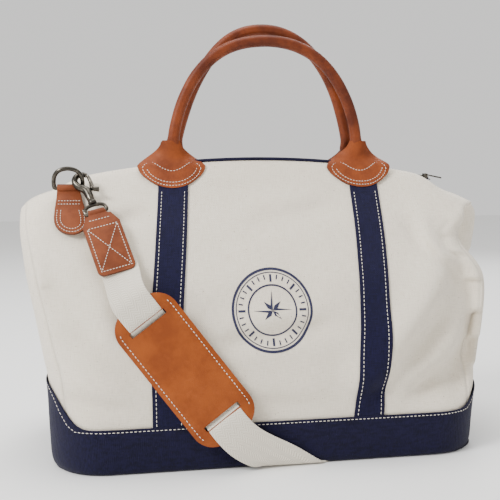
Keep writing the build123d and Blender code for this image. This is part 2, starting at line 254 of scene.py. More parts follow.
def make_weave():
    """Plain weave: height of the crossing yarns, slubs along both yarns, and seed flecks."""
    tree, w, given, out = group(
        "weave", [("Vector", VECTOR, None), ("Pitch", FLOAT, 0.0009), ("Flecks", FLOAT, 0.5)],
        [("Height", FLOAT), ("Tone", FLOAT), ("Fleck", FLOAT)],
    )
    per_yarn = w.math("DIVIDE", pi, given["Pitch"])
    spun = w.add("ShaderNodeVectorMath", {"operation": "SCALE"}, i0=given["Vector"], Scale=per_yarn)
    parts = w.add("ShaderNodeSeparateXYZ", None, Vector=spun.outputs[0]).outputs
    wave_u, wave_v = w.math("SINE", parts[0]), w.math("SINE", parts[1])
    crossing = w.math("MULTIPLY", wave_u, wave_v)
    slub_u = w.noise(w.scaled(given["Vector"], (90, 1300, 300)), 1.0, 2.0)
    slub_v = w.noise(w.scaled(given["Vector"], (1300, 90, 300)), 1.0, 2.0)
    slubs = w.math("ADD", slub_u, slub_v)
    w.set(out, "Height", w.math("ADD", w.math("MULTIPLY", crossing, 0.35), w.math("MULTIPLY", slubs, 0.8)))
    w.set(out, "Tone", w.math("MULTIPLY", slubs, 0.5))
    speck = w.noise(w.scaled(given["Vector"], (1, 1, 1)), 520.0, 1.0)
    patch = w.noise(given["Vector"], 60.0, 1.0)
    both = w.math("MULTIPLY", w.ramp(speck, 0.70, 0.76), w.ramp(patch, 0.35, 0.6))
    w.set(out, "Fleck", w.math("MULTIPLY", both, given["Flecks"]))
    return tree


def make_grain():
    """Leather: fine pebbled grain, pores, and cloudy tone from oiling and handling."""
    tree, w, given, out = group(
        "grain", [("Vector", VECTOR, None), ("Size", FLOAT, 0.0012)],
        [("Height", FLOAT), ("Tone", FLOAT), ("Scuff", FLOAT)],
    )
    finer = w.math("DIVIDE", 1.0, given["Size"])
    warp = w.noise(given["Vector"], 300.0, 1.0)
    nudge = w.add("ShaderNodeCombineXYZ", None, X=w.math("MULTIPLY", warp, 0.0008)).outputs[0]
    spread = w.add("ShaderNodeVectorMath", {"operation": "ADD"}, i0=given["Vector"], i1=nudge).outputs[0]
    cells = w.add("ShaderNodeTexVoronoi", {"feature": "DISTANCE_TO_EDGE"}, Vector=spread, Scale=finer)
    pebbles = w.ramp(cells.outputs[0], 0.0, 0.25)
    fine = w.noise(given["Vector"], 1600.0, 2.0)
    w.set(out, "Height", w.math("ADD", w.math("MULTIPLY", pebbles, 0.7), w.math("MULTIPLY", fine, 0.5)))
    clouds = w.noise(given["Vector"], 28.0, 4.0, 0.6)
    w.set(out, "Tone", w.ramp(clouds, 0.3, 0.7))
    w.set(out, "Scuff", w.ramp(w.noise(w.scaled(given["Vector"], (1, 3, 1)), 120.0, 3.0), 0.55, 0.75))
    return tree


WEAVE = make_weave()
GRAIN = make_grain()


def fabric(name, light, dark, pitch, flecks, fleck_color, depth, from_uv, roughness=0.9, sheen=0.2):
    material = new_material(name, light, roughness)
    w = Wiring(material.node_tree)
    shader = w.nodes["Principled BSDF"]
    shader.inputs["Sheen Weight"].default_value = sheen
    shader.inputs["Sheen Roughness"].default_value = 0.5
    shader.inputs["Specular IOR Level"].default_value = 0.2
    where = w.add("ShaderNodeTexCoord").outputs["UV" if from_uv else "Object"]
    weave = w.add("ShaderNodeGroup", {"node_tree": WEAVE}, Vector=where, Pitch=pitch, Flecks=flecks).outputs
    tone = w.ramp(weave["Tone"], 0.34, 0.62)
    clouds = w.noise(w.add("ShaderNodeTexCoord").outputs["Object"], 9.0, 3.0)
    both = w.math("ADD", w.math("MULTIPLY", tone, 0.75), w.math("MULTIPLY", clouds, 0.25))
    color = w.mix(both, (*dark, 1), (*light, 1))
    w.set(shader, "Base Color", w.mix(weave["Fleck"], color, (*fleck_color, 1)))
    bump = w.add("ShaderNodeBump", None, Height=weave["Height"], Strength=depth, Distance=0.0005)
    w.set(shader, "Normal", bump.outputs[0])
    return material


def leather(name, light, dark, size, roughness, depth=0.35, coat=0.03):
    material = new_material(name, light, roughness)
    w = Wiring(material.node_tree)
    shader = w.nodes["Principled BSDF"]
    shader.inputs["Specular IOR Level"].default_value = 0.2
    shader.inputs["Coat Weight"].default_value = coat
    shader.inputs["Coat Roughness"].default_value = 0.35
    where = w.add("ShaderNodeTexCoord").outputs["Object"]
    grain = w.add("ShaderNodeGroup", {"node_tree": GRAIN}, Vector=where, Size=size).outputs
    color = w.mix(grain["Tone"], (*dark, 1), (*light, 1))
    pale = tuple(min(1, 1.35 * c + 0.01) for c in light)
    w.set(shader, "Base Color", w.mix(w.math("MULTIPLY", grain["Scuff"], 0.15), color, (*pale, 1)))
    w.set(shader, "Roughness", w.math("ADD", w.math("MULTIPLY", grain["Tone"], -0.12), roughness + 0.06))
    bump = w.add("ShaderNodeBump", None, Height=grain["Height"], Strength=depth, Distance=0.0004)
    w.set(shader, "Normal", bump.outputs[0])
    return material


def metal(name, color, rubbed, roughness):
    material = new_material(name, color, roughness, Metallic=1.0)
    w = Wiring(material.node_tree)
    shader = w.nodes["Principled BSDF"]
    where = w.add("ShaderNodeTexCoord").outputs["Object"]
    patches = w.ramp(w.noise(where, 110.0, 3.0, 0.6), 0.45, 0.75)
    w.set(shader, "Base Color", w.mix(patches, (*color, 1), (*rubbed, 1)))
    w.set(shader, "Roughness", w.math("ADD", w.math("MULTIPLY", patches, -0.18), roughness + 0.05))
    bump = w.add("ShaderNodeBump", None, Height=w.noise(where, 700.0, 2.0), Strength=0.08, Distance=0.0002)
    w.set(shader, "Normal", bump.outputs[0])
    return material


def webbing_cloth(name, light, dark):
    """Chevron webbing: rows of slanted yarns that turn back every few millimetres across the band, with painted
    shade darkening the grooves between the rows.
    """
    material = new_material(name, light, 0.88)
    w = Wiring(material.node_tree)
    shader = w.nodes["Principled BSDF"]
    shader.inputs["Sheen Weight"].default_value = 0.3
    shader.inputs["Specular IOR Level"].default_value = 0.2
    parts = w.add("ShaderNodeSeparateXYZ", None, Vector=w.add("ShaderNodeTexCoord").outputs["UV"]).outputs
    zigzag = w.math("PINGPONG", parts[0], 0.0052)
    slant = w.math("ADD", parts[1], zigzag)
    rows = w.math("SINE", w.math("MULTIPLY", slant, 2 * pi / 0.0024))
    ribs = w.math("SINE", w.math("MULTIPLY", parts[0], 2 * pi / 0.0013))
    fuzz = w.noise(w.add("ShaderNodeTexCoord").outputs["Object"], 900.0, 2.0)
    height = w.math("ADD", w.math("ADD", rows, w.math("MULTIPLY", ribs, 0.3)), fuzz)
    # painted shade: the colour goes dark where the rows dip, standing in for shade in the grooves of the weave
    painted_groove_shade = w.ramp(rows, -1.0, 0.4)
    w.set(shader, "Base Color", w.mix(painted_groove_shade, (*dark, 1), (*light, 1)))
    bump = w.add("ShaderNodeBump", None, Height=height, Strength=0.5, Distance=0.0004)
    w.set(shader, "Normal", bump.outputs[0])
    return material


canvas = fabric("natural canvas", (0.84, 0.765, 0.645), (0.70, 0.625, 0.505), 0.0010, 0.8,
                (0.26, 0.18, 0.10), 0.8, True)
navy = fabric("navy canvas", (0.0070, 0.0060, 0.030), (0.0020, 0.0018, 0.010), 0.0011, 0.25,
              (0.03, 0.03, 0.08), 0.6, False, 0.9, 0.06)
navy_uv = fabric("navy strap", (0.0070, 0.0062, 0.034), (0.0020, 0.0018, 0.011), 0.0011, 0.2,
                 (0.03, 0.03, 0.08), 0.6, True, 0.9, 0.06)
webbing = webbing_cloth("natural webbing", (0.80, 0.745, 0.64), (0.56, 0.50, 0.40))
handle_leather = leather("handle leather", (0.200, 0.041, 0.009), (0.080, 0.014, 0.004), 0.0011, 0.50)
anchor_leather = leather("anchor leather", (0.26, 0.056, 0.010), (0.135, 0.026, 0.005), 0.0011, 0.62)
tab_leather = leather("tab leather", (0.225, 0.056, 0.017), (0.130, 0.030, 0.009), 0.0011, 0.62)
pad_leather = leather("pad leather", (0.30, 0.067, 0.007), (0.20, 0.040, 0.004), 0.0013, 0.46)
burnished = leather("burnished edge", (0.15, 0.042, 0.018), (0.07, 0.02, 0.009), 0.0008, 0.4)
antique = metal("antique metal", (0.055, 0.050, 0.042), (0.17, 0.15, 0.12), 0.30)
zip_brass = metal("zip brass", (0.16, 0.11, 0.055), (0.42, 0.31, 0.16), 0.35)
thread = new_material("cream thread", (0.78, 0.73, 0.63), 0.8, Sheen_Weight=0.3)
navy_print = new_material("navy print", (0.010, 0.011, 0.045), 0.7)
rope = fabric("jute rope", (0.55, 0.44, 0.28), (0.38, 0.29, 0.17), 0.0016, 0.2,
              (0.2, 0.14, 0.08), 0.6, False)
fibre_board = fabric("fibre board", (0.34, 0.29, 0.23), (0.24, 0.20, 0.16), 0.002, 0.6,
                     (0.1, 0.08, 0.06), 0.2, False)


# ---------------------------------------------------------------- shoulder strap: the cord comes first
strap_width = 0.042
strap_thickness = 0.0022
strap_route = [
    (-0.1879, -0.0714, 0.2646), (-0.1785, -0.0849, 0.2418), (-0.1690, -0.0983, 0.2191),
    (-0.1634, -0.1271, 0.1934), (-0.1526, -0.1294, 0.1791), (-0.1447, -0.1302, 0.1688),
    (-0.1383, -0.1229, 0.1603), (-0.1293, -0.1240, 0.1483), (-0.1137, -0.1260, 0.1276),
    (-0.0921, -0.1290, 0.0990), (-0.0765, -0.1312, 0.0783), (-0.0674, -0.1326, 0.0664),
    (-0.0619, -0.1417, 0.0590), (-0.0541, -0.1431, 0.0487), (-0.0430, -0.1431, 0.0365),
    (-0.0270, -0.1400, 0.0250), (-0.0070, -0.1365, 0.0143), (0.0110, -0.1322, 0.0044),
    (0.0170, -0.1268, 0.00135), (0.0380, -0.1140, 0.00135), (0.0740, -0.0880, 0.00135),
    (0.1020, -0.0520, 0.00135), (0.1170, -0.0100, 0.00135), (0.1240, 0.0340, 0.00135),
    (0.1280, 0.0780, 0.00135), (0.1310, 0.1120, 0.00135), (0.1320, 0.1270, 0.00135),
    (0.1330, 0.1323, 0.0052), (0.1350, 0.1324, 0.0280), (0.1390, 0.1320, 0.0620),
    (0.1460, 0.1310, 0.1000), (0.1540, 0.1285, 0.1340), (0.1620, 0.1245, 0.1630),
    (0.1690, 0.1208, 0.1891), (0.1785, 0.1074, 0.2118), (0.1879, 0.0939, 0.2346),
]
on_tab = (0.941, 0.200, 0.273)
on_pad = (0.795, 0.0, 0.601)
on_back_tab = (0.941, 0.200, -0.273)
strap_across = [on_tab] * 3 + [on_pad] * 11 + [
    (0.78, 0.0, 0.62), (0.80, 0.0, 0.58), (0.90, 0.0, 0.43), (1.0, 0.0, 0.0),
    (1.0, 0.0, 0.0), (1.0, -0.1, 0.0), (0.75, -0.66, 0.0),
    (0.88, -0.47, 0.0), (0.95, -0.30, 0.0), (0.99, -0.12, 0.0),
    (1.0, -0.08, 0.0), (1.0, -0.07, 0.0), (1.0, 0.0, 0.0),
    (1.0, 0.0, 0.0), (0.99, 0.0, -0.10), (0.98, 0.0, -0.15),
    (0.97, 0.05, -0.2), (0.96, 0.1, -0.23), (0.95, 0.15, -0.25),
] + [on_back_tab] * 3


def spline_points(points, resolution):
    """Points along the smooth curve that a route gives."""
    data = bpy.data.curves.new("route", "CURVE")
    data.dimensions = "3D"
    data.resolution_u = resolution
    spline = data.splines.new("NURBS")
    spline.points.add(len(points) - 1)
    for point, place in zip(spline.points, points):
        point.co = (*place, 1)
    spline.order_u = 3
    spline.use_endpoint_u = True
    holder = bpy.data.objects.new("route", data)
    bpy.context.scene.collection.objects.link(holder)
    mesh = bpy.data.meshes.new_from_object(holder)
    found = [vertex.co.copy() for vertex in mesh.vertices]
    bpy.data.objects.remove(holder)
    bpy.data.curves.remove(data)
    bpy.data.meshes.remove(mesh)
    return found


def strap_edges():
    """The two edges of the webbing, as routes of their own beside the middle one."""
    lows, highs = [], []
    points = [Vector(p) for p in strap_route]
    for index, point in enumerate(points):
        step_in = point - points[max(index - 1, 0)]
        step_out = points[min(index + 1, len(points) - 1)] - point
        along = (step_in.normalized() + step_out.normalized()).normalized()
        across = Vector(strap_across[index]).normalized()
        skew = across.dot(along)
        half = strap_width / 2 / sqrt(1 - skew * skew)
        lows.append(point - across * half)
        highs.append(point + across * half)
    return lows, highs


STRAP_STEPS = 6
STRAP_COLUMNS = 10
strap_middle = spline_points(strap_route, STRAP_STEPS)
strap_low, strap_high = (spline_points(edge, STRAP_STEPS) for edge in strap_edges())


def shoulder_webbing():
    """The band between the two edges, with its UV map across and along it."""
    bm = bmesh.new()
    rows, spots = [], {}
    gone = 0.0
    for index, (low, middle, high) in enumerate(zip(strap_low, strap_middle, strap_high)):
        if index:
            gone += (middle - strap_middle[index - 1]).length
        row = []
        for column in range(STRAP_COLUMNS + 1):
            t = column / STRAP_COLUMNS
            vertex = bm.verts.new(low.lerp(high, t))
            spots[vertex] = (t * strap_width, gone)
            row.append(vertex)
        rows.append(row)
    quads(bm, rows)
    lay_uv(bm, spots)
    return piece_from(bm, "shoulder_webbing", [webbing])


strap = shoulder_webbing()
thicken(strap, strap_thickness, 0)
soften(strap, 0.0006, 2, 60)


# ---------------------------------------------------------------- body of the bag
# height, reach to the left, reach to the right, half depth and corner radius
body_levels = [
    (0.000, 0.247, 0.243, 0.1250, 0.060),
    (0.052, 0.249, 0.246, 0.1285, 0.062),
    (0.090, 0.2505, 0.252, 0.1280, 0.062),
    (0.125, 0.2570, 0.258, 0.1235, 0.060),
    (0.160, 0.2635, 0.265, 0.1145, 0.056),
    (0.200, 0.2705, 0.271, 0.1010, 0.050),
    (0.235, 0.2755, 0.276, 0.0800, 0.042),
    (0.262, 0.2800, 0.280, 0.0620, 0.034),
    (0.285, 0.2815, 0.282, 0.0450, 0.026),
    (0.305, 0.2800, 0.282, 0.0315, 0.018),
    (0.325, 0.2760, 0.280, 0.0215, 0.012),
    (0.345, 0.2720, 0.278, 0.0120, 0.008),
]
BODY_RINGS = 64
FRONT_STEPS, CORNER_STEPS, END_STEPS = 76, 8, 14
STRAIGHT_BELOW = 0.17
SHOULDER_ROUND = 0.028
LEVEL_TOP = body_levels[-1][0]


# how far the ridge drops below the zip's own arc towards the left and right ends
SHOULDER_START, SHOULDER_END = 0.190, 0.300
left_shoulder = [(SHOULDER_START, 0.0), (0.205, 0.0003), (0.221, 0.0024), (0.242, 0.0080), (0.263, 0.0120),
                 (0.282, 0.0200), (SHOULDER_END, 0.0360)]
right_shoulder = [(SHOULDER_START, 0.0), (0.205, 0.0014), (0.223, 0.0072), (0.245, 0.0140), (0.267, 0.0175),
                  (0.284, 0.0210), (SHOULDER_END, 0.0300)]


def ridge_z(x):
    """Height of the ridge: the zip's arc in the middle, and lower than it over both shoulders."""
    arc = sqrt(RIDGE_RADIUS**2 - x * x) + RIDGE_CENTRE_Z
    if abs(x) < SHOULDER_START:
        return arc
    return arc - through(right_shoulder if x > 0 else left_shoulder, min(abs(x), SHOULDER_END - 0.0001))[0]


def boot_top(x):
    """Height of the navy boot, which sweeps up round both ends."""
    return BOOT_TOP + (0.026 * between(0.214, 0.254, x) + 0.047 * between(0.212, 0.254, -x))


def outline(left, right, depth, corner):
    """Corner-rounded outline from the front left, running to the right, with the panel each step is on."""
    corner = min(corner, depth * 0.92)
    reach = depth - corner
    low_x, high_x = corner - left, right - corner
    centres = [(low_x, -reach), (high_x, -reach), (high_x, reach), (low_x, reach)]
    places = []
    for panel in range(4):
        (ax, ay), (bx, by) = centres[panel], centres[(panel + 1) % 4]
        facing = (panel - 1) * pi / 2
        out_x, out_y = corner * cos(facing), corner * sin(facing)
        steps = END_STEPS if panel % 2 else FRONT_STEPS
        for step in range(steps):
            t = step / steps
            places.append((ax + t * (bx - ax) + out_x, ay + t * (by - ay) + out_y, panel))
        for step in range(CORNER_STEPS):
            angle = facing + step / CORNER_STEPS * pi / 2
            nearer = panel if step < CORNER_STEPS / 2 else (panel + 1) % 4
            places.append((bx + corner * cos(angle), by + corner * sin(angle), nearer))
    return places


FOLD_STRENGTH = 3.2


def crease(x, z, start, end, width, depth):
    """A soft fold from start to end: below zero in its valley, with a raised lip beside it."""
    ax, az = start
    bx, bz = end
    length = sqrt((bx - ax) ** 2 + (bz - az) ** 2)
    ux, uz = (bx - ax) / length, (bz - az) / length
    along = (x - ax) * ux + (z - az) * uz
    aside = (x - ax) * -uz + (z - az) * ux
    fade = between(-0.02, 0.02, along) * (1 - between(length - 0.02, length + 0.02, along))
    valley = -exp(-((aside / width) ** 2))
    lip = 0.6 * exp(-(((aside - 1.9 * width) / (1.4 * width)) ** 2))
    return FOLD_STRENGTH * depth * fade * (valley + lip)


# start, end, width and depth of the soft folds in the front
front_folds = [
    ((-0.060, 0.137), (0.060, 0.152), 0.010, 0.0016),
    ((0.105, 0.060), (0.215, 0.160), 0.016, 0.0032),
    ((0.140, 0.058), (0.235, 0.110), 0.013, 0.0028),
    ((0.150, 0.110), (0.240, 0.215), 0.016, 0.0030),
    ((0.215, 0.062), (0.246, 0.150), 0.012, 0.0024),
    ((-0.235, 0.150), (-0.150, 0.105), 0.014, 0.0022),
    ((-0.255, 0.215), (-0.200, 0.150), 0.016, 0.0026),
    ((-0.240, 0.085), (-0.165, 0.066), 0.010, 0.0020),
    ((-0.060, 0.070), (0.050, 0.062), 0.010, 0.0014),
    ((0.170, 0.262), (0.235, 0.190), 0.012, 0.0022),
    ((-0.215, 0.252), (-0.145, 0.275), 0.010, 0.0016),
    ((-0.020, 0.262), (0.080, 0.285), 0.014, 0.0012),
    ((0.020, 0.190), (0.090, 0.110), 0.020, 0.0012),
]


def shaped(x, y, z):
    """Pushes a point of the plain form to where the stuffed, handled canvas lies."""
    loose = between(boot_top(x), boot_top(x) + 0.034, z)
    loose *= 1 - between(LIP_FOLD_Z - 0.01, ridge_z(min(abs(x), 0.27)) - 0.004, z)
    if y < 0:
        y -= sum(crease(x, z, *fold) for fold in front_folds) * loose * between(0.02, 0.05, -y)
        beyond = (x - 0.120) * 0.880 - (z - 0.050) * 0.475
        y += 0.024 * between(0.0, 0.060, beyond) * loose * between(0.0, 0.05, -y)
    else:
        y += sum(crease(-x, z, *fold) for fold in front_folds) * loose * between(0.02, 0.05, y)
    right_end = between(0.16, 0.25, x)
    high = between(0.190, 0.222, z) * (1 - between(0.270, 0.288, z))
    x -= right_end * high * 0.050 * exp(-(((y + 0.012) / 0.020) ** 2))
    x -= right_end * 0.032 * exp(-(((z - 0.247) / 0.030) ** 2)) * between(0.012, 0.040, -y)
    ear = between(0.195, 0.225, z) * (1 - between(0.286, 0.296, z))
    x += right_end * 0.022 * exp(-(((y - 0.034) / 0.020) ** 2)) * ear
    left_end = between(0.20, 0.27, -x)
    x -= left_end * 0.002 * exp(-(((z - 0.235) / 0.05) ** 2)) * between(0, 0.05, -y + 0.03)
    y -= left_end * 0.008 * exp(-(((z - 0.235) / 0.04) ** 2)) * between(0.0, 0.03, -y)
    dent = between(0.12, 0.2, z) * (1 - between(0.255, 0.28, z))
    x += left_end * 0.014 * exp(-(((y - 0.010) / 0.022) ** 2)) * dent
    swell = noise.noise(Vector((x * 9, y * 9, z * 9)))
    swell += 0.5 * noise.noise(Vector((x * 22, y * 22, z * 22 + 5)))
    ends = between(0.20, 0.26, abs(x))
    out = Vector((x, y * 2, 0)).normalized()
    push = swell * (0.0026 + 0.0035 * ends) * loose
    return Vector((x + out.x * push, y + out.y * push, z))


def body_point(place, level, grow=0.0):
    """Where one step of the outline lies at a level from 0 to 1 up the bag, and its panel."""
    z = level * RIDGE_TOP
    for attempt in range(3):
        left, right, depth, corner = through(body_levels, min(z, LEVEL_TOP))
        x, y, panel = outline(left + grow, right + grow, depth + grow, corner + grow)[place]
        top = ridge_z(x)
        z = level * RIDGE_TOP
        if z > STRAIGHT_BELOW:
            z = STRAIGHT_BELOW + (top - STRAIGHT_BELOW) * (z - STRAIGHT_BELOW) / (RIDGE_TOP - STRAIGHT_BELOW)
    near_top = 1 - min((top - z) / SHOULDER_ROUND, 1)
    round_off = sqrt(max(0, 1 - near_top * near_top))
    gap = 0.0085 - 0.0080 * between(0.216, 0.230, abs(x))
    if abs(y) > gap:
        y = (-1 if y < 0 else 1) * (gap + (abs(y) - gap) * round_off)
    return Vector((x, y, z)), panel


OUTLINE_STEPS = 2 * (FRONT_STEPS + END_STEPS) + 4 * CORNER_STEPS
LOWEST_LEVEL = 0.1


def ring_body(shares, height_at, grow, move=None):
    """Rings of the outline joined into a wall, each at its share of the height; panels become materials."""
    wall = bmesh.new()
    rings = []
    for share in shares:
        ring = []
        for place in range(OUTLINE_STEPS):
            low, panel = body_point(place, LOWEST_LEVEL, grow)
            point, panel = body_point(place, share * height_at(low.x) / RIDGE_TOP, grow)
            if move:
                point = move(*point)
            ring.append((wall.verts.new(point), panel))
        rings.append(ring)
    panels = [panel for vertex, panel in rings[0]]
    uv = wall.loops.layers.uv.new("UVMap")
    faces = quads(wall, [[vertex for vertex, panel in ring] for ring in rings], closed=True)
    for index, face in enumerate(faces):
        face.material_index = panels[index % OUTLINE_STEPS]
        flat = face.material_index in (0, 2)
        for loop in face.loops:
            spot = loop.vert.co
            loop[uv].uv = (spot.x if flat else spot.y, spot.z)
    return wall


LOWEST_SHARE = 0.13
body_shares = [LOWEST_SHARE + (1 - LOWEST_SHARE) * i / BODY_RINGS for i in range(BODY_RINGS + 1)]
body_bm = ring_body(body_shares, lambda x: RIDGE_TOP, 0.0, shaped)
bag_form = piece_from(body_bm, "bag_form", [canvas, canvas, canvas, canvas])


def settle(thing):
    """Lets the canvas fill out and wrinkle a little between its boot and its ridge."""
    group = thing.vertex_groups.new(name="held")
    for vertex in thing.data.vertices:
        spot = vertex.co
        above = boot_top(spot.x)
        held = max(1 - between(above, above + 0.014, spot.z),
                   between(-0.016, -0.004, spot.z - ridge_z(spot.x)))
        if held > 0:
            group.add([vertex.index], held, "REPLACE")
    rest = [vertex.co.copy() for vertex in thing.data.vertices]
    cloth = thing.modifiers.new("cloth", "CLOTH")
    cloth.settings.quality = 5
    cloth.settings.mass = 0.4
    cloth.settings.tension_stiffness = 40
    cloth.settings.compression_stiffness = 40
    cloth.settings.shear_stiffness = 20
    cloth.settings.bending_stiffness = 4
    cloth.settings.vertex_group_mass = "held"
    cloth.settings.use_pressure = True
    cloth.settings.uniform_pressure_force = 1.0
    cloth.settings.shrink_min = -0.02
    cloth.settings.effector_weights.gravity = 0
    cloth.collision_settings.use_collision = False
    scene = bpy.context.scene
    for step in range(1, 15):
        scene.frame_set(step)
    depsgraph = bpy.context.evaluated_depsgraph_get()
    moved = thing.evaluated_get(depsgraph).to_mesh()
    places = [vertex.co.copy() for vertex in moved.vertices]
    thing.evaluated_get(depsgraph).to_mesh_clear()
    thing.modifiers.clear()
    scene.frame_set(1)
    farthest = 0.006
    for vertex, start, end in zip(thing.data.vertices, rest, places):
        step = end - start
        vertex.co = start + (step if step.length < farthest else step.normalized() * farthest)


settle(bag_form)
subdivide(bag_form)
baked(bag_form)
form_tree = tree_of(bag_form)


def panel_piece(name, panels):
    """One canvas panel, cut out of the finished form."""
    bm = bmesh.new()
    bm.from_mesh(bag_form.data)
    bmesh.ops.delete(bm, geom=[f for f in bm.faces if f.material_index not in panels], context="FACES")
    for face in bm.faces:
        face.material_index = 0
    return thicken(piece_from(bm, name, [canvas]), 0.0016, -1)


front_canvas = panel_piece("front_canvas", (0,))
right_canvas = panel_piece("right_end_canvas", (1,))
rear_canvas = panel_piece("rear_canvas", (2,))
left_canvas = panel_piece("left_end_canvas", (3,))


def on_wall(x, z, side, lift):
    """The point and outward normal on the front (-1) or back (1) wall at x, z, lifted off it."""
    hit, normal, index, distance = form_tree.ray_cast(Vector((x, side * 0.4, z)), Vector((0, -side, 0)))
    if hit is None:
        hit, normal = Vector((x, side * 0.009, z)), Vector((0, side, 0))
    if normal.y * side < 0:
        normal = -normal
    return hit + normal * lift, normal


# ---------------------------------------------------------------- stitches
def stitch_piece(name, runs, length=0.0032, gap=0.0014, width=0.0009):
    """Rows of stitches along runs of (point, outward normal), each stitch a small lens of thread."""
    bm = bmesh.new()
    pitch = length + gap
    for run in runs:
        left_over = gap
        for (a, normal), (b, other) in zip(run, run[1:]):
            step = b - a
            distance = step.length
            if distance < 1e-6:
                continue
            along = step / distance
            while left_over + length / 2 <= distance:
                middle = a + along * (left_over + length / 2)
                up = (normal - along * normal.dot(along)).normalized()
                aside = up.cross(along)
                turn = Matrix((aside, along, up)).transposed().to_4x4()
                size = Matrix.Diagonal((width / 2, length / 2 * 1.12, width * 0.42, 1))
                place = Matrix.Translation(middle) @ turn @ size
                bmesh.ops.create_icosphere(bm, subdivisions=1, radius=1, matrix=place)
                left_over += pitch
            left_over -= distance
    return piece_from(bm, name, [thread])


# ---------------------------------------------------------------- boot
boot_bm = ring_body((0.0, 0.08, 0.24, 0.45, 0.65, 0.82, 0.93, 1.0), boot_top, 0.0016)
lowest = min(v.co.z for v in boot_bm.verts)
for vertex in boot_bm.verts:
    if vertex.co.z < lowest + 0.0005:
        vertex.co.x *= 0.988
        vertex.co.y *= 0.975
        vertex.co.z = 0.0012
for face in boot_bm.faces:
    face.material_index = 0
boot = piece_from(boot_bm, "navy_boot", [navy])
thicken(boot, 0.0013, 1)
subdivide(boot)
boot_tree = tree_of(boot)


def boot_stitches():
    """One row of stitches that follows the boot's top edge all round."""
    loop = []
    for place in range(OUTLINE_STEPS + 1):
        low, panel = body_point(place % OUTLINE_STEPS, LOWEST_LEVEL, 0.0)
        point, panel = body_point(place % OUTLINE_STEPS, (boot_top(low.x) - 0.0034) / RIDGE_TOP, 0.0)
        outside = point + Vector((point.x, point.y, 0)).normalized() * 0.02
        hit, normal, index, distance = boot_tree.find_nearest(outside)
        loop.append((hit + normal * 0.0002, normal))
    return [loop]


boot_thread = stitch_piece("boot_stitches", boot_stitches())

# Bottom cloth: flat, with a hollow where the bag stands on its own strap
bm = bmesh.new()
bmesh.ops.create_grid(bm, x_segments=90, y_segments=48, size=1)
under_points = [p for p in strap_middle if p.z < 0.004]
for vertex in bm.verts:
    u, v = vertex.co.x, vertex.co.y
    x = u * 0.2455 * (1 - 0.075 * abs(v) ** 9)
    y = v * 0.1245 * (1 - 0.165 * abs(u) ** 16)
    near = min((p.xy - Vector((x, y))).length for p in under_points)
    dip = 1 - between(0.022, 0.034, near)
    vertex.co = (x, y, 0.0008 + 0.0026 * dip)
bottom = piece_from(bm, "bottom_cloth", [navy])
thicken(bottom, 0.0012, 1)

# ---------------------------------------------------------------- navy straps up the front and back
strap_paths = {
    "left": [(0.050, -0.121), (0.160, -0.1205), (0.240, -0.113), (0.305, -0.1065), (0.340, -0.105)],
    "right": [(0.050, 0.102), (0.120, 0.110), (0.190, 0.115), (0.250, 0.1215), (0.305, 0.125), (0.340, 0.126)],
}
NAVY_WIDTH = 0.035
NAVY_INSET = 0.0042


def navy_strap(face, end, side):
    """A canvas strap lying on the wall from the boot to the ridge, with a row of stitching by each edge."""
    bm = bmesh.new()
    path = strap_paths[end]
    low, high = BOOT_TOP - 0.0005, ridge_z(path[-1][1]) - 0.003
    steps, columns = 70, 8
    rows, spots = [], {}
    runs = [[], []]
    for step in range(steps + 1):
        z = low + (high - low) * step / steps
        centre = through(path, z)[0]
        row = []
        for column in range(columns + 1):
            x = centre + (column / columns - 0.5) * NAVY_WIDTH
            vertex = bm.verts.new(on_wall(x, min(z, ridge_z(x) - 0.002), side, 0.0004)[0])
            spots[vertex] = (column / columns * NAVY_WIDTH, step / steps * (high - low))
            row.append(vertex)
        rows.append(row)
        if z <= LIP_FOLD_Z - 0.002:
            for run, inset in zip(runs, (NAVY_INSET, NAVY_WIDTH - NAVY_INSET)):
                run.append(on_wall(centre - NAVY_WIDTH / 2 + inset, z, side, 0.0024))
    quads(bm, rows, flipped=side > 0)
    lay_uv(bm, spots)
    band = piece_from(bm, f"navy_strap_{face}_{end}_cloth", [navy_uv])
    thicken(band, 0.0018, 1)
    soften(band, 0.0005)
    return band, stitch_piece(f"navy_strap_{face}_{end}_stitches", runs)


# ---------------------------------------------------------------- leather patches
def patch(name, place, outline_points, thickness, materials):
    """A flat leather patch from its outline in a plane's own coordinates, with a burnished rim."""
    bm = bmesh.new()
    verts = [bm.verts.new((x, y, 0)) for x, y in outline_points]
    bm.faces.new(verts)
    bmesh.ops.inset_region(bm, faces=bm.faces[:], thickness=0.0016, use_even_offset=True)
    for vertex in bm.verts:
        vertex.co = place @ vertex.co
    thing = piece_from(bm, name, materials)
    thicken(thing, thickness, 1, 1)
    soften(thing, 0.0007, 3, 50)
    return thing


# ---------------------------------------------------------------- rolled handles and their anchors
ANCHOR_LEAN = Vector((0, 0.021, 0.040)).normalized()
handle_arches = {
    "front": [(-0.1130, 0.3500), (-0.1125, 0.3620), (-0.1090, 0.3830), (-0.1000, 0.4120), (-0.0840, 0.4420),
              (-0.0600, 0.4660), (-0.0330, 0.4790), (0.0020, 0.4835), (0.0340, 0.4795), (0.0640, 0.4650),
              (0.0860, 0.4420), (0.1020, 0.4130), (0.1110, 0.3850), (0.1140, 0.3620), (0.1140, 0.3500)],
    "rear": [(-0.1090, 0.3500), (-0.1075, 0.3620), (-0.1000, 0.3900), (-0.0880, 0.4240), (-0.0700, 0.4570),
             (-0.0480, 0.4830), (-0.0240, 0.4965), (0.0020, 0.5000), (0.0280, 0.4960), (0.0540, 0.4810),
             (0.0760, 0.4560), (0.0920, 0.4250), (0.1020, 0.3920), (0.1080, 0.3620), (0.1090, 0.3500)],
}
HANDLE_RADIUS = 0.0070
HANDLE_Y = 0.010


def handle_line(face, side):
    """The middle line of one handle, from its left foot to its right."""
    return spline_points([(HANDLE_CENTRE_X + x, side * HANDLE_Y, z) for x, z in handle_arches[face]], 12)


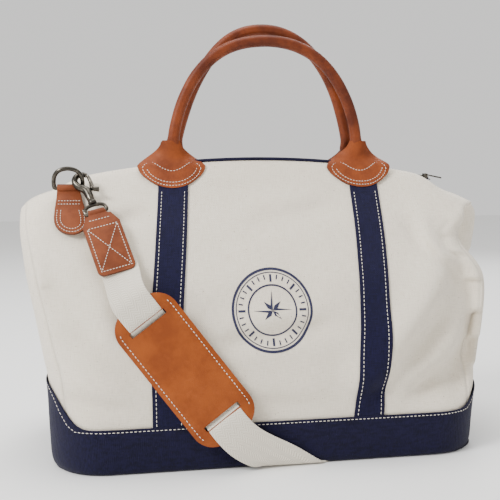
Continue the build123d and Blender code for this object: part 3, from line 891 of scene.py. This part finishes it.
def rolled_handle(face, side):
    """Rolled leather round a rope, flattening at each end where it becomes the anchor."""
    points = handle_line(face, side)
    total = sum((b - a).length for a, b in zip(points, points[1:]))
    bm = bmesh.new()
    around = 20
    rings = []
    gone = 0.0
    for index, point in enumerate(points):
        if index:
            gone += (point - points[index - 1]).length
        along = (points[min(index + 1, len(points) - 1)] - points[max(index - 1, 0)]).normalized()
        aside = Vector((0, 1, 0)).cross(along)
        near_end = min(gone, total - gone)
        flat = 1 - between(0.003, 0.018, near_end)
        wide = HANDLE_RADIUS * (1 + 0.45 * flat)
        thin = HANDLE_RADIUS * (1 - 0.45 * flat)
        wobble = 1 + 0.018 * noise.noise(point * 60)
        ring = []
        for step in range(around):
            angle = 2 * pi * step / around
            groove = 1 - 0.10 * exp(-(((angle - 3 * pi / 2) / 0.22) ** 2))
            offset = aside * cos(angle) * wide + Vector((0, 1, 0)) * sin(angle) * thin * groove
            ring.append(bm.verts.new(point + offset * wobble))
        rings.append(ring)
    quads(bm, rings, closed=True)
    for ring in (rings[0][::-1], rings[-1]):
        bm.faces.new(ring)
    bmesh.ops.recalc_face_normals(bm, faces=bm.faces[:])
    thing = piece_from(bm, f"rolled_handle_{face}", [handle_leather])
    subdivide(thing)
    return thing


# half width of an anchor at each height above its foot, up to its neck
anchor_profile = [
    (0.0000, 0.000), (0.0006, 0.007), (0.0020, 0.0130), (0.0050, 0.0195), (0.0085, 0.0248), (0.0115, 0.0285),
    (0.0160, 0.0335), (0.0200, 0.0368), (0.0245, 0.0391), (0.0280, 0.0400), (0.0305, 0.0394), (0.0330, 0.0372),
    (0.0370, 0.0325), (0.0414, 0.0272), (0.0465, 0.0212), (0.0515, 0.0164), (0.0555, 0.0132), (0.0596, 0.0110),
    (0.0640, 0.0098),
]
# the left half of each row of stitches on an anchor, from its side to its middle
anchor_rows = (
    [(-0.0345, 0.0262), (-0.0325, 0.0205), (-0.0285, 0.0152), (-0.0220, 0.0098), (-0.0120, 0.0048),
     (0.0, 0.0034)],
    [(-0.0295, 0.0262), (-0.0275, 0.0215), (-0.0215, 0.0150), (-0.0120, 0.0095), (0.0, 0.0076)],
    [(-0.0345, 0.0262), (-0.0338, 0.0300), (-0.0300, 0.0330), (-0.0235, 0.0350), (-0.0185, 0.0325),
     (-0.0110, 0.0262), (0.0, 0.0222)],
)


def anchor(face, end, side, along):
    """Fan of leather sewn to the lip; it rises past the ridge and wraps the foot of the handle."""
    centre = HANDLE_CENTRE_X + along * HANDLE_SPREAD
    foot_z = LIP_FOLD_Z + 0.0016
    bm = bmesh.new()
    columns = 20
    rows = []

    def surface(x, height, lift=0.0):
        z = foot_z + height * ANCHOR_LEAN.z
        depth = 0.0330 - height * ANCHOR_LEAN.y
        wrap = between(0.030, 0.052, height)
        depth = depth * (1 - wrap) + (HANDLE_Y + 0.0042) * wrap
        curl = (1 - wrap) * 0.9 * x * x / 0.45 + wrap * 26 * x * x
        return Vector((centre + x, -(depth + lift - min(curl, 0.012)) * -side, z))

    for height, half in anchor_profile:
        half = max(half, 0.0008)
        rows.append([bm.verts.new(surface((2 * column / columns - 1) * half, height))
                     for column in range(columns + 1)])
    quads(bm, rows, flipped=side > 0)
    bmesh.ops.remove_doubles(bm, verts=bm.verts[:], dist=0.00005)
    thing = piece_from(bm, f"anchor_{face}_{end}_leather", [anchor_leather, burnished])
    thicken(thing, 0.0026, 0, 1)
    soften(thing, 0.0008, 3, 50)
    outward = Vector((0, side, 0.5)).normalized()
    runs = []
    for half_row in anchor_rows:
        row = half_row + [(-x, height) for x, height in half_row[-2::-1]]
        smooth = spline_points([(x, height, 0) for x, height in row], 8)
        runs.append([(surface(point.x, point.y, 0.0016), outward) for point in smooth])
    return thing, stitch_piece(f"anchor_{face}_{end}_stitches", runs, 0.0026, 0.0010, 0.0008)


# ---------------------------------------------------------------- placing planes of the ring and hook
def set_of_planes(turn):
    """Matrices whose z is outward, for the tab, ring, hook and strap end of one end of the bag."""
    up = Vector((0, 33, 45)).normalized()
    out = Vector((1, 0, 0)).cross(up)
    lean = radians(60)
    ring_up = (up * cos(lean) + out * sin(lean)).normalized()
    bar = Vector((-0.226, -0.0512, 0.281)) + up * 0.031 + out * 0.0026
    curl = bar + Vector((0.016, 0, 0)) + ring_up * 0.009
    down = (Vector((0.34, 0, 0)) - up * 0.94).normalized()
    across = out.cross(down)
    tuck = Matrix.Rotation(radians(5), 3, across)
    swing = Matrix.Rotation(radians(-3), 3, out)
    loop_bar = curl + down * 0.047

    def plane(origin, x_dir, z_dir):
        y_dir = z_dir.cross(x_dir)
        columns = Matrix((x_dir, y_dir, z_dir)).transposed().to_4x4()
        return turn @ Matrix.Translation(origin) @ columns

    return {
        "tab": plane(Vector((-0.226, -0.0512, 0.281)), Vector((1, 0, 0)), out),
        "ring": plane(bar, Vector((1, 0, 0)), Vector((1, 0, 0)).cross(ring_up)),
        "hook": plane(curl, across, out),
        "end_tab": plane(loop_bar, swing @ across, tuck @ out),
    }


places = {
    "left": set_of_planes(Matrix.Identity(4)),
    "right": set_of_planes(Matrix.Translation((0, 0.0225, -0.030)) @ Matrix.Rotation(pi, 4, "Z")),
}


def wire(name, points, radius, material, closed=False, sizes=None):
    """Round wire along a list of points, with its own radius at each point if sizes are given."""
    data = bpy.data.curves.new(name, "CURVE")
    data.dimensions = "3D"
    data.bevel_depth = radius
    data.bevel_resolution = 4
    data.resolution_u = 8
    spline = data.splines.new("NURBS")
    spline.points.add(len(points) - 1)
    for index, (point, place) in enumerate(zip(spline.points, points)):
        point.co = (*place, 1)
        point.radius = sizes[index] if sizes else 1.0
    spline.order_u = 3
    spline.use_cyclic_u = closed
    spline.use_endpoint_u = not closed
    data.use_fill_caps = True
    holder = bpy.data.objects.new(name, data)
    bpy.context.scene.collection.objects.link(holder)
    mesh = bpy.data.meshes.new_from_object(holder)
    bpy.data.objects.remove(holder)
    bpy.data.curves.remove(data)
    mesh.materials.clear()
    mesh.materials.append(material)
    for face in mesh.polygons:
        face.use_smooth = True
    thing = bpy.data.objects.new(name, mesh)
    bpy.context.scene.collection.objects.link(thing)
    return thing


def turned(name, place, profile, material, around=28):
    """A round part spun about the plane's own -y axis from (distance down, radius) pairs."""
    bm = bmesh.new()
    verts = [bm.verts.new((radius, -down, 0)) for down, radius in profile]
    edges = [bm.edges.new(pair) for pair in zip(verts, verts[1:])]
    bmesh.ops.spin(bm, geom=verts + edges, cent=(0, 0, 0), axis=(0, 1, 0), angle=2 * pi, steps=around,
                   use_merge=True)
    bmesh.ops.remove_doubles(bm, verts=bm.verts[:], dist=0.00002)
    bmesh.ops.recalc_face_normals(bm, faces=bm.faces[:])
    bmesh.ops.transform(bm, matrix=place, verts=bm.verts[:])
    return piece_from(bm, name, [material])


def join(name, things):
    """Several meshes as one piece."""
    bm = bmesh.new()
    for thing in things:
        baked(thing)
        bm.from_mesh(thing.data)
    materials = list(things[0].data.materials)
    for thing in things:
        bpy.data.objects.remove(thing)
    return piece_from(bm, name, materials)


def along_outline(points, inset):
    """The outline drawn in by inset, closed."""
    found = []
    count = len(points)
    for index, (x, y) in enumerate(points):
        ax, ay = points[index - 1]
        bx, by = points[(index + 1) % count]
        dx, dy = bx - ax, by - ay
        size = sqrt(dx * dx + dy * dy) or 1
        found.append((x - dy / size * inset, y + dx / size * inset))
    return found + [found[0]]


def flat_run(place, points, lift):
    normal = (place.to_3x3() @ Vector((0, 0, 1))).normalized()
    return [(place @ Vector((x, y, lift)), normal) for x, y in points]


def leather_roll(name, place, half_width, radius, material):
    """The roll of leather that holds a bar."""
    bm = bmesh.new()
    bmesh.ops.create_cone(bm, cap_ends=True, segments=24, radius1=radius, radius2=radius, depth=2 * half_width,
                          matrix=place @ Matrix.Rotation(pi / 2, 4, "Y"))
    return soften(piece_from(bm, name, [material]), 0.0008, 2, 50)


def ring_and_hook(end):
    """Everything that hangs at one end: returns the pieces by name."""
    at = places[end]
    made = {}
    # ring tab: a tongue with a round foot, its top rolled round the bar of the ring
    foot_y, foot_radius = -0.0135, 0.0182
    tongue = [(-0.0128, 0.0290), (-0.0140, 0.0180), (-0.0168, 0.0020), (-0.0182, -0.0090)]
    tongue += [(foot_radius * cos(radians(a)), foot_y + foot_radius * sin(radians(a)))
               for a in range(184, 357, 16)]
    tongue += [(0.0182, -0.0090), (0.0168, 0.0020), (0.0140, 0.0180), (0.0128, 0.0290)]
    tongue = [(x + 0.075 * (0.0290 - y), y) for x, y in tongue]
    tab = patch(f"ring_tab_{end}_leather", at["tab"], tongue, 0.0030, [tab_leather, burnished])
    roll = leather_roll("roll", at["ring"], 0.0125, 0.0046, tab_leather)
    made["tab"] = join(f"ring_tab_{end}_leather_whole", [tab, roll])
    inner = along_outline(tongue, 0.0030)[2:-3]
    deeper = along_outline(tongue, 0.0070)[2:-3]
    bars = [[(-0.0122, 0.0130), (0.0142, 0.0130)], [(-0.0125, 0.0085), (0.0150, 0.0085)]]
    runs = [flat_run(at["tab"], points, 0.0032) for points in [inner, deeper] + bars]
    made["tab_thread"] = stitch_piece(f"ring_tab_{end}_stitches", runs, 0.0022, 0.0010, 0.0008)
    # D-ring of round wire
    path = [(-0.012, 0.0), (0.0, 0.0), (0.012, 0.0), (0.0158, 0.0004), (0.0161, 0.0040), (0.0161, 0.0090),
            (0.0150, 0.0155), (0.0105, 0.0218), (0.0, 0.0248), (-0.0105, 0.0218), (-0.0150, 0.0155),
            (-0.0161, 0.0090), (-0.0161, 0.0040), (-0.0158, 0.0004)]
    made["ring"] = wire(f"d_ring_{end}_wire", [at["ring"] @ Vector((x, y, 0)) for x, y in path], 0.0025,
                        antique, True)
    # hook: tapering curl, shank, collar
    curl = [(0.0065, 0.0052, 0.80), (0.0040, 0.0078, 0.86), (0.0, 0.0090, 0.95), (-0.0048, 0.0078, 1.0),
            (-0.0084, 0.0034, 1.08), (-0.0088, -0.0025, 1.15), (-0.0062, -0.0080, 1.25),
            (-0.0022, -0.0115, 1.35), (0.0, -0.0160, 1.42), (0.0, -0.0215, 1.40), (0.0, -0.0270, 1.30),
            (0.0, -0.0290, 1.20)]
    body = wire("curl", [at["hook"] @ Vector((x, y, 0)) for x, y, size in curl], 0.0034, antique, False,
                [size for x, y, size in curl])
    pin = turned("pin", at["hook"], [(0.0270, 0.0), (0.0270, 0.0030), (0.0285, 0.0040), (0.0298, 0.0040),
                                     (0.0302, 0.0020), (0.0345, 0.0020), (0.0345, 0.0)], antique)
    lug_line = ((0.0, -0.0135, -0.0022), (0.0045, -0.0135, -0.0024), (0.0068, -0.0135, -0.0024))
    lug = wire("lug", [at["hook"] @ Vector(p) for p in lug_line], 0.0011, antique)
    made["hook"] = join(f"hook_{end}_body", [body, pin, lug])
    gate = [(0.0076, 0.0034, 0.9), (0.0080, -0.0010, 1.0), (0.0080, -0.0060, 1.0), (0.0072, -0.0110, 1.15),
            (0.0066, -0.0140, 1.25), (0.0092, -0.0158, 1.1), (0.0122, -0.0172, 1.25), (0.0134, -0.0178, 1.3)]
    made["gate"] = wire(f"hook_gate_{end}_lever", [at["hook"] @ Vector((x, y, 0.0004)) for x, y, size in gate],
                        0.0023, antique, False, [size for x, y, size in gate])
    collar = turned("collar", at["hook"], [(0.0306, 0.0024), (0.0306, 0.0042), (0.0314, 0.0048),
                                           (0.0342, 0.0048), (0.0350, 0.0042), (0.0350, 0.0)], antique)
    loop = [(0.0, -0.0358), (0.0060, -0.0362), (0.0108, -0.0385), (0.0124, -0.0420), (0.0124, -0.0462),
            (0.0095, -0.0470), (0.0, -0.0470), (-0.0095, -0.0470), (-0.0124, -0.0462), (-0.0124, -0.0420),
            (-0.0108, -0.0385), (-0.0060, -0.0362)]
    loop_wire = wire("loop", [at["hook"] @ Vector((x, y, 0)) for x, y in loop], 0.0021, antique, True)
    made["swivel"] = join(f"swivel_{end}_loop", [collar, loop_wire])
    # strap end tab with a crossed box of stitching
    width, length = 0.042, 0.078
    half = width / 2
    shoulder = 0.0065
    shape = [(half, -0.010 - shoulder), (half - shoulder, -0.0045), (0.0105, -0.0035), (0.0098, 0.0010),
             (-0.0098, 0.0010), (-0.0105, -0.0035), (shoulder - half, -0.0045), (-half, -0.010 - shoulder)]
    round_foot = 0.007
    quarter = [(round_foot * cos(radians(a)), round_foot * sin(radians(a))) for a in range(0, 91, 15)]
    shape += [(-half + round_foot - near, -length + round_foot - far) for near, far in quarter]
    shape += [(half - round_foot + far, -length + round_foot - near) for near, far in quarter]
    leather_tab = patch(f"strap_end_tab_{end}_patch", at["end_tab"], shape, 0.0032, [tab_leather, burnished])
    end_roll = leather_roll("end roll", at["end_tab"], 0.0092, 0.0043, tab_leather)
    made["end_tab"] = join(f"strap_end_tab_{end}_leather", [leather_tab, end_roll])
    box_w, top, low = half - 0.0042, -0.0195, -length + 0.0050
    box = [(-box_w, top), (box_w, top), (box_w, low), (-box_w, low), (-box_w, top)]
    cross = [[(-box_w, top), (box_w, low)], [(box_w, top), (-box_w, low)],
             [(-box_w + 0.004, -0.0100), (box_w - 0.004, -0.0100)]]
    runs = [flat_run(at["end_tab"], points, 0.0034) for points in [box] + cross]
    made["end_thread"] = stitch_piece(f"strap_end_tab_{end}_stitches", runs, 0.0024, 0.0010, 0.0009)
    return made


hung = {end: ring_and_hook(end) for end in ("left", "right")}


# ---------------------------------------------------------------- shoulder pad
def shoulder_pad():
    """Leather pad with two slots; the webbing runs over its ends and behind its middle."""
    axis = Vector((108, -15, -143)).normalized()
    out = (Vector((0, -1, 0)) + axis * axis.y).normalized()
    side = out.cross(axis)
    place = Matrix.Translation((-0.103, -0.130, 0.1135)) @ Matrix((axis, side, out)).transposed().to_4x4()
    half_length, half_width, corner = 0.0890, 0.0372, 0.025
    bm = bmesh.new()
    steps_u, steps_v = 96, 36
    grid = {}

    def edge_width(u):
        over = max(0.0, abs(u) - (half_length - corner))
        return half_width - corner + (sqrt(corner**2 - over**2) if over < corner else 0.0)

    def height(u, v):
        edge = min(edge_width(u) - abs(v), half_length - abs(u))
        return 0.0016 * between(0.0, 0.010, edge) + 0.0006 * noise.noise(Vector((u * 25, v * 30, 3)))

    slot_u, slot_half, slot_reach = 0.0643, 0.0030, 0.0222
    for i in range(steps_u + 1):
        u = (2 * i / steps_u - 1) * half_length
        for j in range(steps_v + 1):
            v = (2 * j / steps_v - 1) * edge_width(u)
            grid[i, j] = bm.verts.new(place @ Vector((u, v, 0.0005 + height(u, v))))
    for i in range(steps_u):
        u = (2 * (i + 0.5) / steps_u - 1) * half_length
        for j in range(steps_v):
            v = (2 * (j + 0.5) / steps_v - 1) * edge_width(u)
            if abs(abs(u) - slot_u) < slot_half and abs(v) < slot_reach:
                continue
            bm.faces.new((grid[i, j], grid[i + 1, j], grid[i + 1, j + 1], grid[i, j + 1]))
    loose = [v for v in bm.verts if not v.link_faces]
    bmesh.ops.delete(bm, geom=loose, context="VERTS")
    bmesh.ops.recalc_face_normals(bm, faces=bm.faces[:])
    pad = piece_from(bm, "shoulder_pad_leather", [pad_leather, burnished])
    thicken(pad, 0.0034, 1, 1)
    soften(pad, 0.0008, 3, 50)
    runs = []
    for hand in (-1, 1):
        run = []
        for step in range(121):
            u = (step / 60 - 1) * (half_length - 0.016)
            v = hand * (edge_width(u) - 0.0050)
            run.append((place @ Vector((u, v, 0.0043 + height(u, v))), out))
        runs.append(run)
    return pad, stitch_piece("shoulder_pad_stitches", runs, 0.0028, 0.0016, 0.0009)


pad, pad_thread = shoulder_pad()


# ---------------------------------------------------------------- printed mark: rings round a compass star
def printed_mark():
    centre_x, centre_z = -0.004, 0.1715
    bm = bmesh.new()

    def spot(radius, angle, lift=0.00035):
        x = centre_x + radius * sin(angle)
        z = centre_z + radius * cos(angle)
        return on_wall(x, z, -1, lift)[0]

    def band(inner, outer, steps=96):
        loops = [[bm.verts.new(spot(r, 2 * pi * s / steps)) for s in range(steps)] for r in (inner, outer)]
        for s in range(steps):
            after = (s + 1) % steps
            bm.faces.new((loops[0][s], loops[0][after], loops[1][after], loops[1][s]))

    band(0.0430, 0.0458)
    band(0.0402, 0.0412)
    band(0.0262, 0.0280)
    for index in range(32):
        angle = 2 * pi * index / 32
        inner, outer = (0.0305, 0.0385) if index % 4 == 0 else (0.0335, 0.0385)
        half = 0.0012 if index % 4 == 0 else 0.0007
        corners = [spot(inner, angle - half / inner), spot(inner, angle + half / inner),
                   spot(outer, angle + half / outer), spot(outer, angle - half / outer)]
        bm.faces.new([bm.verts.new(c) for c in corners])
    for index in range(8):
        angle = 2 * pi * index / 8
        long = 0.0225 if index % 2 == 0 else 0.0135
        tip = bm.verts.new(spot(long, angle))
        middle = bm.verts.new(spot(0.0002, angle))
        left = bm.verts.new(spot(0.0058, angle - pi / 8))
        bm.faces.new((middle, left, tip))
        if index % 2:
            right = bm.verts.new(spot(0.0058, angle + pi / 8))
            bm.faces.new((middle, tip, right))
    bmesh.ops.recalc_face_normals(bm, faces=bm.faces[:])
    return piece_from(bm, "printed_mark", [navy_print], False)


mark = printed_mark()

# ---------------------------------------------------------------- zip
def on_ridge(angle, y, rise):
    """A point above the ridge's arc, at an angle from its top."""
    reach = RIDGE_RADIUS + rise
    return Vector((sin(angle) * reach, y, cos(angle) * reach + RIDGE_CENTRE_Z))


def zip_side(face, side):
    """The tape and the row of teeth along one lip."""
    # cross-section of the tape: under the teeth, out to the hem, and over it as a binding
    section = [(0.0022, -0.0048), (0.0070, -0.0046), (0.0082, -0.0030), (0.0086, 0.0004), (0.0096, 0.0012),
               (0.0106, 0.0002), (0.0110, -0.0022)]
    bm = bmesh.new()
    steps = 90
    rows = []
    for step in range(steps + 1):
        angle = (2 * step / steps - 1) * 0.1860
        sunk = 0.0032 * between(0.125, 0.150, abs(sin(angle) * RIDGE_RADIUS))
        rows.append([bm.verts.new(on_ridge(angle, side * out, rise - sunk)) for out, rise in section])
    quads(bm, rows)
    bmesh.ops.recalc_face_normals(bm, faces=bm.faces[:])
    tape = thicken(piece_from(bm, f"zip_tape_{face}_cloth", [navy]), 0.0008, 0)
    bm = bmesh.new()
    end_angle, tooth_pitch = 0.1852, 0.0028
    size = Matrix.Diagonal((0.0011, 0.0022, 0.0018, 1))
    for index in range(int(2 * end_angle * RIDGE_RADIUS / tooth_pitch)):
        angle = -end_angle + (index + (0.25 if side < 0 else 0.75)) * tooth_pitch / RIDGE_RADIUS
        place = Matrix.Translation(on_ridge(angle, side * 0.0014, -0.0044)) @ Matrix.Rotation(angle, 4, "Y")
        bmesh.ops.create_cube(bm, size=1, matrix=place @ size)
    return tape, piece_from(bm, f"zip_teeth_{face}_row", [zip_brass], False)


zip_pieces = {face: zip_side(face, side) for face, side in (("front", -1), ("rear", 1))}


def tape_end(end, way):
    """Stitched tape that closes the zip past the end of the mouth."""
    bm = bmesh.new()
    rows = []
    for step in range(13):
        angle = way * (0.2066 + step / 12 * 0.0166) / RIDGE_RADIUS
        rows.append([bm.verts.new(on_ridge(angle, 0.0072 * across, 0.0006 * cos(across * pi / 2) - 0.0040))
                     for across in (-1, -0.6, -0.2, 0.2, 0.6, 1)])
    quads(bm, rows)
    bmesh.ops.recalc_face_normals(bm, faces=bm.faces[:])
    return thicken(piece_from(bm, f"zip_end_{end}_tape", [navy]), 0.0012, 0)


tape_ends = {end: tape_end(end, way) for end, way in (("left", -1), ("right", 1))}


# ---------------------------------------------------------------- slip pocket inside the back
def inner_pocket():
    """A flat pocket on the inside of the back wall, its mouth standing a little away from it."""
    half, foot, rim = 0.100, 0.125, 0.235
    steps, columns = 22, 25
    bm = bmesh.new()
    rows = []
    for step in range(steps + 1):
        z = foot + (rim - foot) * step / steps
        standing = 0.004 + 0.003 * between(0.205, rim, z)
        rows.append([bm.verts.new(on_wall((2 * column / columns - 1) * half, z, 1, -standing)[0])
                     for column in range(columns + 1)])
    quads(bm, rows)
    bmesh.ops.recalc_face_normals(bm, faces=bm.faces[:])
    hem = 0.003
    runs = [[on_wall((step / 30 - 1) * (half - hem), rim - 2 * hem, 1, -0.0078) for step in range(61)]]
    for x in (hem - half, half - hem):
        runs.append([on_wall(x, foot + 0.004 + 0.100 * step / 30, 1, -0.0058) for step in range(31)])
    return (thicken(piece_from(bm, "inner_pocket_canvas", [canvas]), 0.0012, 0),
            stitch_piece("inner_pocket_stitches", runs))


pocket, pocket_thread = inner_pocket()


# ---------------------------------------------------------------- floor and light
bm = bmesh.new()
bmesh.ops.create_grid(bm, x_segments=1, y_segments=1, size=6)
floor = piece_from(bm, "floor", [new_material("floor", (0.86, 0.86, 0.85), 0.75)])

world = bpy.data.worlds.new("studio")
bpy.context.scene.world = world
world.use_nodes = True
world.node_tree.nodes["Background"].inputs[0].default_value = (1.0, 0.99, 0.975, 1)
world.node_tree.nodes["Background"].inputs[1].default_value = 0.95


def soft_light(name, place, target, size, power):
    data = bpy.data.lights.new(name, "AREA")
    data.shape = "DISK"
    data.size = size
    data.energy = power
    lamp = bpy.data.objects.new(name, data)
    bpy.context.scene.collection.objects.link(lamp)
    aim = (Vector(target) - Vector(place)).to_track_quat("-Z", "Y")
    lamp.matrix_world = Matrix.Translation(place) @ aim.to_matrix().to_4x4()


soft_light("key light", (-1.7, -0.9, 1.7), (0, 0, 0.2), 0.8, 64)
soft_light("top light", (0.0, 0.2, 2.1), (0, 0, 0.2), 1.4, 30)
soft_light("back light", (0.9, 1.8, 1.4), (0, 0, 0.2), 1.2, 20)


def finish(piece, slot, *nodes):
    """Hides the CAD nodes that the piece stands for; the piece and the slot are not used."""
    if nodes:
        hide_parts(*nodes)


def riding(piece, body, slot, *nodes):
    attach(piece, body)
    finish(piece, slot, *nodes)


for wall, face in ((front_canvas, "front"), (rear_canvas, "rear")):
    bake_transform(wall)
    finish(wall, "natural_canvas", f"{face}_panel", f"{face}_lip")
riding(left_canvas, "root", "natural_canvas", "left_end_panel")
riding(right_canvas, "root", "natural_canvas", "right_end_panel")
riding(boot, "root", "navy_canvas", "boot_front", "boot_rear", "boot_left", "boot_right")
riding(bottom, "root", "navy_canvas", "base_panel")
riding(boot_thread, "root", "webbing")
riding(mark, "root", "navy_canvas")
bpy.data.objects.remove(bag_form)

for face, side in (("front", -1), ("rear", 1)):
    lip, handle = f"{face}_lip", f"{face}_handle"
    for end, along in (("left", -1), ("right", 1)):
        band, band_thread = navy_strap(face, end, side)
        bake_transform(band)
        finish(band, "navy_canvas", f"navy_strap_{face}_{end}")
        riding(band_thread, "root", "webbing")
        fan, fan_thread = anchor(face, end, side, along)
        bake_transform(fan)
        finish(fan, "handle_leather", f"anchor_{face}_{end}")
        riding(fan_thread, lip, "webbing")
    grip = rolled_handle(face, side)
    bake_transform(grip)
    finish(grip, "handle_leather", f"handle_{face}")
    core = wire(f"handle_core_{face}_rope", handle_line(face, side)[24:-24:4], 0.0035, rope)
    riding(core, handle, "rope", f"handle_core_{face}")
    tape, teeth = zip_pieces[face]
    riding(tape, lip, "zip_tape", f"zip_tape_{face}")
    riding(teeth, lip, "zip_metal", f"zip_teeth_{face}")

finishes = {"tab": "tab_leather", "tab_thread": "webbing", "end_tab": "tab_leather", "end_thread": "webbing",
            "ring": "antique_metal", "hook": "antique_metal", "gate": "antique_metal", "swivel": "antique_metal"}
stands_for = {"tab": "ring_tab", "ring": "d_ring", "hook": "hook", "gate": "hook_gate", "swivel": "swivel",
              "end_tab": "strap_end_tab"}
for end, made in hung.items():
    for part, thing in made.items():
        body = f"{end}_{part}" if part in ("ring", "hook", "gate") else "root"
        riding(thing, body, finishes[part], *([f"{stands_for[part]}_{end}"] if part in stands_for else []))
    riding(tape_ends[end], "root", "zip_tape", f"zip_end_{end}")

riding(strap, "root", "webbing", "strap_webbing")
riding(pad, "root", "pad_leather", "shoulder_pad")
riding(pad_thread, "root", "webbing")
riding(pocket, "root", "natural_canvas", "inner_pocket")
riding(pocket_thread, "root", "webbing")

for name, finish_shown in (("base_board", fibre_board), ("zip_slider", antique), ("zip_pull", antique)):
    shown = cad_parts[name]
    shown.data.materials.clear()
    shown.data.materials.append(finish_shown)

on_strap = [pad, pad_thread]
for made in hung.values():
    on_strap += [made[part] for part in ("hook", "gate", "swivel", "end_tab", "end_thread")]
